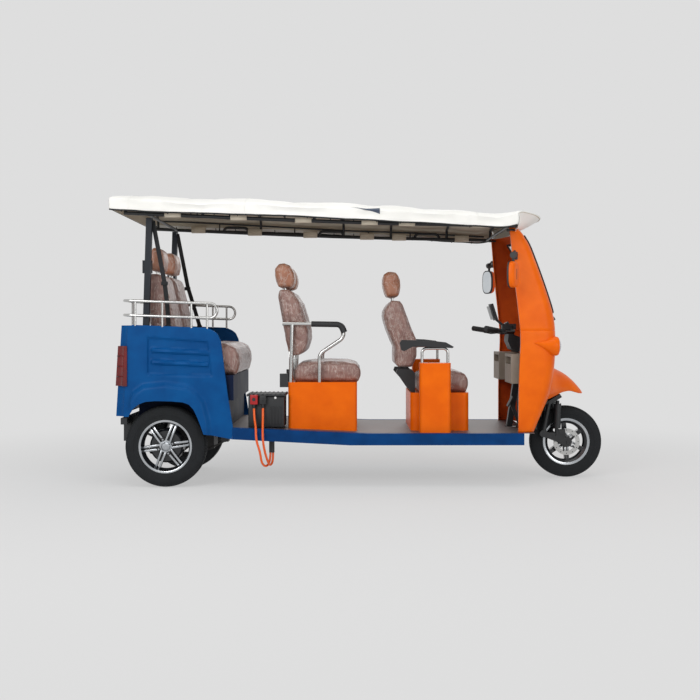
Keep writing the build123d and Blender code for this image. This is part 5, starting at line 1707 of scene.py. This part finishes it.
    def _beak(self) -> None:
        """Makes the hooded beak over the wheel."""
        top = ((1.150, 0.775), (1.200, 0.752), (1.237, 0.731), (1.285, 0.708), (1.333, 0.682),
               (1.404, 0.6175), (1.430, 0.584), (1.4455, 0.562))
        hem = ((1.150, 0.536), (1.200, 0.548), (1.261, 0.567), (1.297, 0.576), (1.346, 0.579),
               (1.404, 0.560), (1.430, 0.5545), (1.4455, 0.5555))
        plan = ((1.150, 0.330), (1.185, 0.285), (1.220, 0.232), (1.260, 0.186), (1.300, 0.150),
                (1.350, 0.112), (1.400, 0.070), (1.430, 0.034), (1.4455, 0.0015))

        def hood(u: float, v: float) -> Point:
            x = 1.150 + 0.2955 * (1 - (1 - v) ** 1.30)
            share = 2 * u - 1
            wide = eased(plan, x, 1, 0.02)
            crown = eased(top, x, 1, 0.03)
            base = min(eased(hem, x, 1, 0.02), crown - 0.0005)
            lift = (1 - abs(share) ** 2.6) ** (1 / 2.2)
            return (x, wide * share, base + (crown - base) * lift)

        mesh = grid_surface(56, 44, hood)
        made = self.piece("front_hood", mesh, [ORANGE_PAINT], "orange_paint", ["front_beak"],
                          sharp_deg=70)
        self._face_out(made)
        self.modifier(made, "SOLIDIFY", thickness=0.004, offset=-1.0)

    def _pods(self) -> None:
        """Makes the teardrop lamp pods with their lenses."""
        mesh = bmesh.new()
        pod = [(1.045, 0.0002), (1.056, 0.005), (1.075, 0.011), (1.098, 0.0195),
               (1.122, 0.032), (1.146, 0.047), (1.168, 0.0575), (1.186, 0.061), (1.200, 0.059),
               (1.206, 0.055), (1.206, 0.050), (1.196, 0.048), (1.192, 0.0002)]
        lens = [(1.196, 0.0485), (1.208, 0.0475), (1.215, 0.040), (1.2205, 0.025),
                (1.2225, 0.0002), (1.196, 0.0002)]
        for number, profile in ((0, pod), (1, lens)):
            seen = set(mesh.faces)
            verts = [mesh.verts.new((x, 0.292, 0.872 + r)) for x, r in profile]
            edges = [mesh.edges.new(pair) for pair in zip(verts, verts[1:])]
            bmesh.ops.spin(mesh, geom=verts + edges, cent=(1.2, 0.292, 0.872), axis=(1, 0, 0),
                           angle=math.radians(360), steps=56, use_merge=True)
            for face in mesh.faces:
                if face not in seen:
                    face.material_index = number
        for vert in mesh.verts:
            tail = smoothstep(1.215, 1.045, vert.co.x)
            vert.co.z += 0.004 + 0.020 * tail * tail
            vert.co.y += 0.100 + 0.050 * tail
        mirror_across(mesh)
        self.piece("lamp_pods", mesh, [ORANGE_PAINT, CLEAR_LENS], "orange_paint",
                   ["headlamps"], sharp_deg=35)


@dataclass
class Details(Assembly):
    """Small parts that the plain solids leave out: sockets, mirrors, tabs, belts and bolts."""

    def build(self) -> None:
        """Makes every small piece."""
        self._battery()
        self._mirrors()
        self._belts()
        self._lamps()
        self._grips()
        self._springs()

    def _battery(self) -> None:
        """Makes the battery case with a ribbed lid, its sockets and the white screw."""
        mesh = bmesh.new()
        add_box(mesh, (-0.737, -0.419, 0.368), (-0.512, -0.201, 0.560), 6.0, 3)
        add_box(mesh, (-0.747, -0.428, 0.562), (-0.502, -0.192, 0.576), 4.0, 3)
        for index in range(9):
            x = -0.735 + 0.0275 * index
            add_box(mesh, (x, -0.424, 0.5765), (x + 0.010, -0.196, 0.5795), 1.0, 1)
        for index in range(5):
            x = -0.600 + 0.018 * index
            add_box(mesh, (x, -0.4235, 0.385), (x + 0.007, -0.4185, 0.500), 1.0, 1)
        add_box(mesh, (-0.664, -0.452, 0.514), (-0.623, -0.417, 0.569), 4.0, 3)
        for z in (0.530, 0.541, 0.552):
            add_box(mesh, (-0.666, -0.454, z - 0.0018), (-0.621, -0.440, z + 0.0018), 0.8, 1)
        add_box(mesh, (-0.723, -0.452, 0.513), (-0.675, -0.417, 0.573), 5.0, 3, 1)
        add_rod(mesh, (-0.699, -0.4535, 0.545), (-0.699, -0.450, 0.545), 0.016, 24, None, 1)
        add_rod(mesh, (-0.699, -0.4545, 0.545), (-0.699, -0.4500, 0.545), 0.011, 24, None, 0)
        add_rod(mesh, (-0.567, -0.424, 0.554), (-0.567, -0.417, 0.554), 0.0072, 20, None, 2)
        for x, z in ((-0.699, 0.506), (-0.643, 0.507)):
            add_rod(mesh, (x, -0.437, z - 0.016), (x, -0.437, z + 0.012), 0.0095, 20, 0.0115)
        self.piece("battery_case", mesh, [BLACK_ABS, RED_ABS, WHITE_NYLON], "black_plastic",
                   ["battery_box"], sharp_deg=30)

    def _mirrors(self) -> None:
        """Makes the mirror cases, glasses, ball clamps and arms."""
        mesh = bmesh.new()
        add_tube(mesh, rounded_route([(0.932, 0.443, 1.446), (0.916, 0.500, 1.464),
                                      (0.901, 0.545, 1.442), (0.901, 0.545, 1.392)], 0.02), 0.008,
                 14, 1)
        add_rod(mesh, (0.905, 0.535, 1.437), (0.897, 0.556, 1.437), 0.020, 24, None, 1)
        add_box(mesh, (0.908, 0.4385, 1.416), (0.944, 0.448, 1.464), 3.0, 3, 1)
        add_rod(mesh, (0.928, 0.446, 1.446), (0.924, 0.462, 1.450), 0.017, 24, 0.014, 1)
        shell = bmesh.new()
        middle = (0.903, 0.545, 1.318)
        add_oval(shell, middle, [(0.020, 0.60, 0.72), (0.0195, 0.74, 0.82), (0.012, 0.93, 0.95),
                                 (0.000, 1.0, 1.0), (-0.012, 1.0, 1.0)], 0.052, 0.0815, 0)
        add_oval(shell, middle, [(-0.0115, 0.99, 0.995), (-0.0115, 1.03, 1.02),
                                 (-0.021, 1.03, 1.02), (-0.0235, 0.98, 0.985),
                                 (-0.0225, 0.88, 0.925)], 0.052, 0.0815, 1)
        add_oval(shell, middle, [(-0.0228, 0.90, 0.935), (-0.0238, 0.88, 0.92)], 0.052, 0.0815, 2)
        add_box(shell, (0.9205, 0.541, 1.287), (0.9240, 0.5475, 1.352), 1.2, 2, 1)
        turn = (Matrix.Translation(middle) @ Matrix.Rotation(math.radians(32), 4, "Z")
                @ Matrix.Translation(-Vector(middle)))
        bmesh.ops.transform(shell, matrix=turn, verts=shell.verts[:])
        part = bpy.data.meshes.new("mirror_case")
        shell.to_mesh(part)
        shell.free()
        mesh.from_mesh(part)
        bpy.data.meshes.remove(part)
        mirror_across(mesh)
        self.piece("door_mirrors", mesh, [ORANGE_PAINT, BLACK_ABS, MIRROR_GLASS],
                   "black_plastic", ["mirrors"], sharp_deg=35)

    def _belts(self) -> None:
        """Makes the belt webbing, its reels' slots and the buckles."""
        mesh = bmesh.new()
        for line in (((-1.330, -0.440, 1.655), (-1.258, -0.432, 1.268), (-1.244, -0.424, 1.140),
                      (-1.236, -0.419, 1.000)),
                     ((-1.330, 0.440, 1.655), (-1.256, 0.440, 1.280), (-1.212, 0.432, 1.140),
                      (-1.168, 0.424, 0.995))):
            verts = [mesh.verts.new((x - 0.013, y, z)) for x, y, z in line]
            edges = [mesh.edges.new(pair) for pair in zip(verts, verts[1:])]
            moved = bmesh.ops.extrude_edge_only(mesh, edges=edges)["geom"]
            bmesh.ops.translate(mesh, vec=(0.027, 0.004, 0.004), verts=[
                v for v in moved if isinstance(v, bmesh.types.BMVert)])
        bmesh.ops.subdivide_edges(mesh, edges=mesh.edges[:], cuts=2)
        bmesh.ops.solidify(mesh, geom=mesh.faces[:], thickness=0.0016)
        for side, x in ((-1, -1.236), (1, -1.168)):
            low, high = sorted((side * 0.409, side * 0.433))
            add_box(mesh, (x - 0.017, low, 0.915), (x + 0.017, high, 1.008), 3.0, 3)
            add_box(mesh, (x - 0.012, low + 0.004, 0.985), (x + 0.0175, high - 0.004, 1.004), 2.0,
                    2, 1)
            add_rod(mesh, (x, side * 0.419, 0.700), (x, side * 0.419, 0.920), 0.004, 10)
            add_box(mesh, (-1.278, side * 0.436 - 0.006, 1.256),
                    (-1.236, side * 0.436 + 0.006, 1.280), 3.0, 2)
        self.piece("belt_webbing", mesh, [WEBBING, RED_ABS], "belt_web", ["seat_belts"],
                   sharp_deg=45)

    def _lamps(self) -> None:
        """Makes the tub's latch and the rims of the tail lamps."""
        mesh = bmesh.new()
        for level in (0.688, 0.752, 0.816):
            add_box(mesh, (-1.5475, 0.420, level - 0.0016), (-1.535, 0.468, level + 0.0016),
                    0.8, 1)
        mirror_across(mesh)
        add_box(mesh, (-1.538, -0.030, 0.930), (-1.526, 0.030, 0.962), 3.0, 3)
        self.piece("lamp_bars", mesh, [BLACK_ABS], "black_plastic", sharp_deg=35)

    def _grips(self) -> None:
        """Makes ribbed grips, levers and switch blocks on the handlebar."""
        helper = Assembly("steering")
        mesh = bmesh.new()
        start, end = Vector((0.858, 0.2336, 0.9695)), Vector((0.760, 0.3352, 0.9869))
        for index in range(11):
            part = index / 11
            one = start.lerp(end, part + 0.015)
            two = start.lerp(end, part + 0.06)
            add_rod(mesh, tuple(one), tuple(two), 0.0178, 20)
        add_box(mesh, (0.868, 0.196, 0.950), (0.902, 0.226, 0.982), 6.0, 3)
        lever = [(0.902, 0.205, 0.962), (0.905, 0.240, 0.955), (0.880, 0.285, 0.952),
                 (0.838, 0.330, 0.960)]
        add_tube(mesh, rounded_route(lever, 0.04), 0.0055, 10)
        mirror_across(mesh)
        helper.piece("grip_ribs", mesh, [BLACK_FOAM], "black_plastic", sharp_deg=35)
        screen = bmesh.new()
        add_box(screen, (0.8285, -0.049, 1.050), (0.8300, 0.049, 1.143), 0.6, 1, 0)
        turn = Matrix.Translation((0.845, 0, 1.096)) @ Matrix.Rotation(
            math.radians(-17.5), 4, "Y") @ Matrix.Translation((-0.8456, 0, -1.0985))
        bmesh.ops.transform(screen, matrix=turn, verts=screen.verts[:])
        helper.piece("display_glass", screen, [WHEEL_BLACK], "black_plastic", sharp_deg=35)

    def _springs(self) -> None:
        """Makes the coils round the dampers."""
        helper = Assembly("steering")
        mesh = bmesh.new()
        top, low = Vector((1.2650, 0.084, 0.490)), Vector((1.2600, 0.084, 0.330))
        turns, steps = 7.5, 150
        line = []
        for index in range(steps + 1):
            part = index / steps
            angle = 2 * math.pi * turns * part
            spot = top.lerp(low, part)
            line.append((spot.x + 0.0215 * math.cos(angle), spot.y + 0.0215 * math.sin(angle),
                         spot.z))
        add_tube(mesh, line, 0.0042, 8)
        mirror_across(mesh)
        helper.piece("coil_springs", mesh, [SPRING_STEEL], "frame_black", sharp_deg=60)


@dataclass
class CadFinishes:
    """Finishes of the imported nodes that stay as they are."""

    plain: tuple[tuple[str, Finish], ...] = (
        ("chassis_frame", FRAME_BLACK), ("rear_axle", CAST_BLACK),
        # side_sills takes the darker copy of the blue paint, which is painted shade.
        ("leaf_springs", SPRING_STEEL), ("side_sills", SILL_PAINT_SHADE),
        ("floor_plate", TREAD_PLATE), ("tub_rear", BLUE_PAINT), ("tail_lamps", RED_LENS),
        ("tub_rail", STAINLESS), ("rear_seat_base", NAVY_PAINT),
        ("mid_seat_base", ORANGE_PAINT), ("arm_tubes", STAINLESS), ("arm_pads", BLACK_FOAM),
        ("driver_seat_base", ORANGE_PAINT), ("seat_brackets", BLACK_ABS),
        ("cable_sleeve", BLACK_ABS), ("roof_posts", SLATE_PAINT),
        ("wiper", BLACK_ABS), ("glove_boxes", BEIGE_ABS), ("brake_pedal", BLACK_ABS),
        ("handlebar", BLACK_ABS), ("fork", FRAME_BLACK))

    def build(self, nodes: dict[str, bpy.types.Object]) -> None:
        """Puts each finish into its node's slots.

        Args:
            nodes: CAD objects by node name.
        """
        for name, finish in self.plain:
            made = nodes[name]
            if not made.material_slots:
                made.data.materials.append(finish.material())
            for slot in made.material_slots:
                slot.material = finish.material()
            LOG.info("%s: %s", name, finish.name)


@dataclass
class Studio:
    """Pale floor, soft lamps and the camera at the photograph's place."""

    ground: str = "#dedede"
    distance: float = 6.7
    eye_x: float = -0.088
    eye_z: float = 0.996
    focal_px: float = 1004.5
    frame_px: float = 700.0
    centre_px: tuple[float, float] = (352.0, 327.0)

    def build(self) -> None:
        """Makes the backdrop, lamps, world and camera."""
        self._floor()
        self._camera()
        self._lamps()
        self._world()

    def _backdrop(self) -> bpy.types.Material:
        """Makes the floor's paper: seen plain, but shaded where the object stands."""
        made, tree = blank_material("matt paper backdrop")
        paper = add_node(tree, "ShaderNodeBsdfDiffuse", {"in:Color": linear("#dddddd")})
        glow = add_node(tree, "ShaderNodeEmission",
                        {"in:Color": linear(self.ground), "in:Strength": 1.0})
        place = add_node(tree, "ShaderNodeTexCoord").outputs["Object"]
        away = add_node(tree, "ShaderNodeVectorMath", {"operation": "LENGTH"},
                        {0: place}).outputs["Value"]
        share = add_node(tree, "ShaderNodeMapRange",
                         {"in:From Min": 1.6, "in:From Max": 4.6, "in:To Min": 0.62,
                          "in:To Max": 1.0, "interpolation_type": "SMOOTHSTEP"},
                         {"Value": away}).outputs["Result"]
        both = add_node(tree, "ShaderNodeMixShader", {},
                        {0: share, 1: paper.outputs[0], 2: glow.outputs[0]})
        out = add_node(tree, "ShaderNodeOutputMaterial")
        tree.links.new(both.outputs[0], out.inputs["Surface"])
        return made

    def _floor(self) -> None:
        """Makes the floor as one broad sheet."""
        mesh = bmesh.new()
        bmesh.ops.create_grid(mesh, x_segments=1, y_segments=1, size=30.0)
        data = bpy.data.meshes.new("studio_floor")
        mesh.to_mesh(data)
        mesh.free()
        data.materials.append(self._backdrop())
        floor = linked("studio_floor", data)
        floor.location.z = -0.0005

    def _camera(self) -> None:
        """Sets the camera where the photograph was taken from."""
        data = bpy.data.cameras.new("camera")
        data.sensor_width = 36.0
        data.lens = self.focal_px / self.frame_px * 36.0
        data.clip_end = 100.0
        data.shift_x = (self.frame_px / 2 - self.centre_px[0]) / self.frame_px
        data.shift_y = (self.centre_px[1] - self.frame_px / 2) / self.frame_px
        camera = linked("camera", data)
        camera.location = (self.eye_x, -self.distance, self.eye_z)
        camera.rotation_euler = (math.radians(90), 0.0, 0.0)
        bpy.context.scene.camera = camera

    def _lamps(self) -> None:
        """Places soft lamps: one overhead, one to each front quarter, one behind."""
        for name, spot, aim, size, power in (
                ("lamp_top", (0.3, -1.6, 5.2), (0.0, 0.0, 0.6), 4.5, 88.0),
                ("lamp_key", (-3.6, -5.6, 3.4), (0.0, 0.0, 0.8), 3.0, 170.0),
                ("lamp_fill", (4.2, -5.0, 2.2), (0.3, 0.0, 0.8), 3.0, 82.0),
                ("lamp_back", (0.6, 5.0, 3.6), (0.0, 0.0, 0.9), 3.5, 50.0)):
            data = bpy.data.lights.new(name, "AREA")
            data.size = size
            data.energy = power
            lamp = linked(name, data)
            lamp.location = spot
            lamp.rotation_euler = (Vector(aim) - Vector(spot)).to_track_quat(
                "-Z", "Y").to_euler()

    def _world(self) -> None:
        """Sets an even grey world, which camera, gloss and glass see as the backdrop."""
        world = bpy.data.worlds.new("studio")
        world.use_nodes = True
        bpy.context.scene.world = world
        tree = world.node_tree
        tree.nodes.clear()
        seen = add_node(tree, "ShaderNodeLightPath")
        either = add_node(tree, "ShaderNodeMath", {"operation": "MAXIMUM"},
                          {0: seen.outputs["Is Camera Ray"], 1: seen.outputs["Is Glossy Ray"]})
        any_of = add_node(tree, "ShaderNodeMath", {"operation": "MAXIMUM"},
                          {0: either.outputs[0], 1: seen.outputs["Is Transmission Ray"]})
        dim = add_node(tree, "ShaderNodeBackground",
                       {"in:Color": linear("#ffffff"), "in:Strength": 0.43})
        paper = add_node(tree, "ShaderNodeBackground",
                         {"in:Color": linear(self.ground), "in:Strength": 1.0})
        mixed = add_node(tree, "ShaderNodeMixShader", {},
                         {0: any_of.outputs[0], 1: dim.outputs[0], 2: paper.outputs[0]})
        out = add_node(tree, "ShaderNodeOutputWorld")
        tree.links.new(mixed.outputs[0], out.inputs["Surface"])


def main() -> None:
    """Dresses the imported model."""
    logging.basicConfig(level=logging.INFO, format="%(name)s %(message)s")
    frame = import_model()
    bpy.context.scene.view_settings.view_transform = "Standard"
    Studio().build()
    ChargingLeads().build()
    CadFinishes().build(frame["nodes"])
    for side, sign in (("right", -1.0), ("left", 1.0)):
        body = f"rear_wheel_{side}"
        centre = (REAR_WHEEL[0], sign * REAR_WHEEL[1], REAR_WHEEL[2])
        Tyre(body, f"rear_tyre_{side}", centre, REAR_WHEEL[2], 0.130, 0.161, 84).build()
        AlloyWheel(body, f"rear_rim_{side}", centre, sign).build()
    Tyre("front_wheel", "front_tyre", FRONT_WHEEL, FRONT_WHEEL[2], 0.096, 0.151, 80,
         3.5).build()
    FrontWheel().build()
    TubSides().build()
    FrontShell().build()
    Details().build()
    Canopy().build()
    RoofFrame().build()
    Seats().build()


if __name__ == "__main__":
    main()
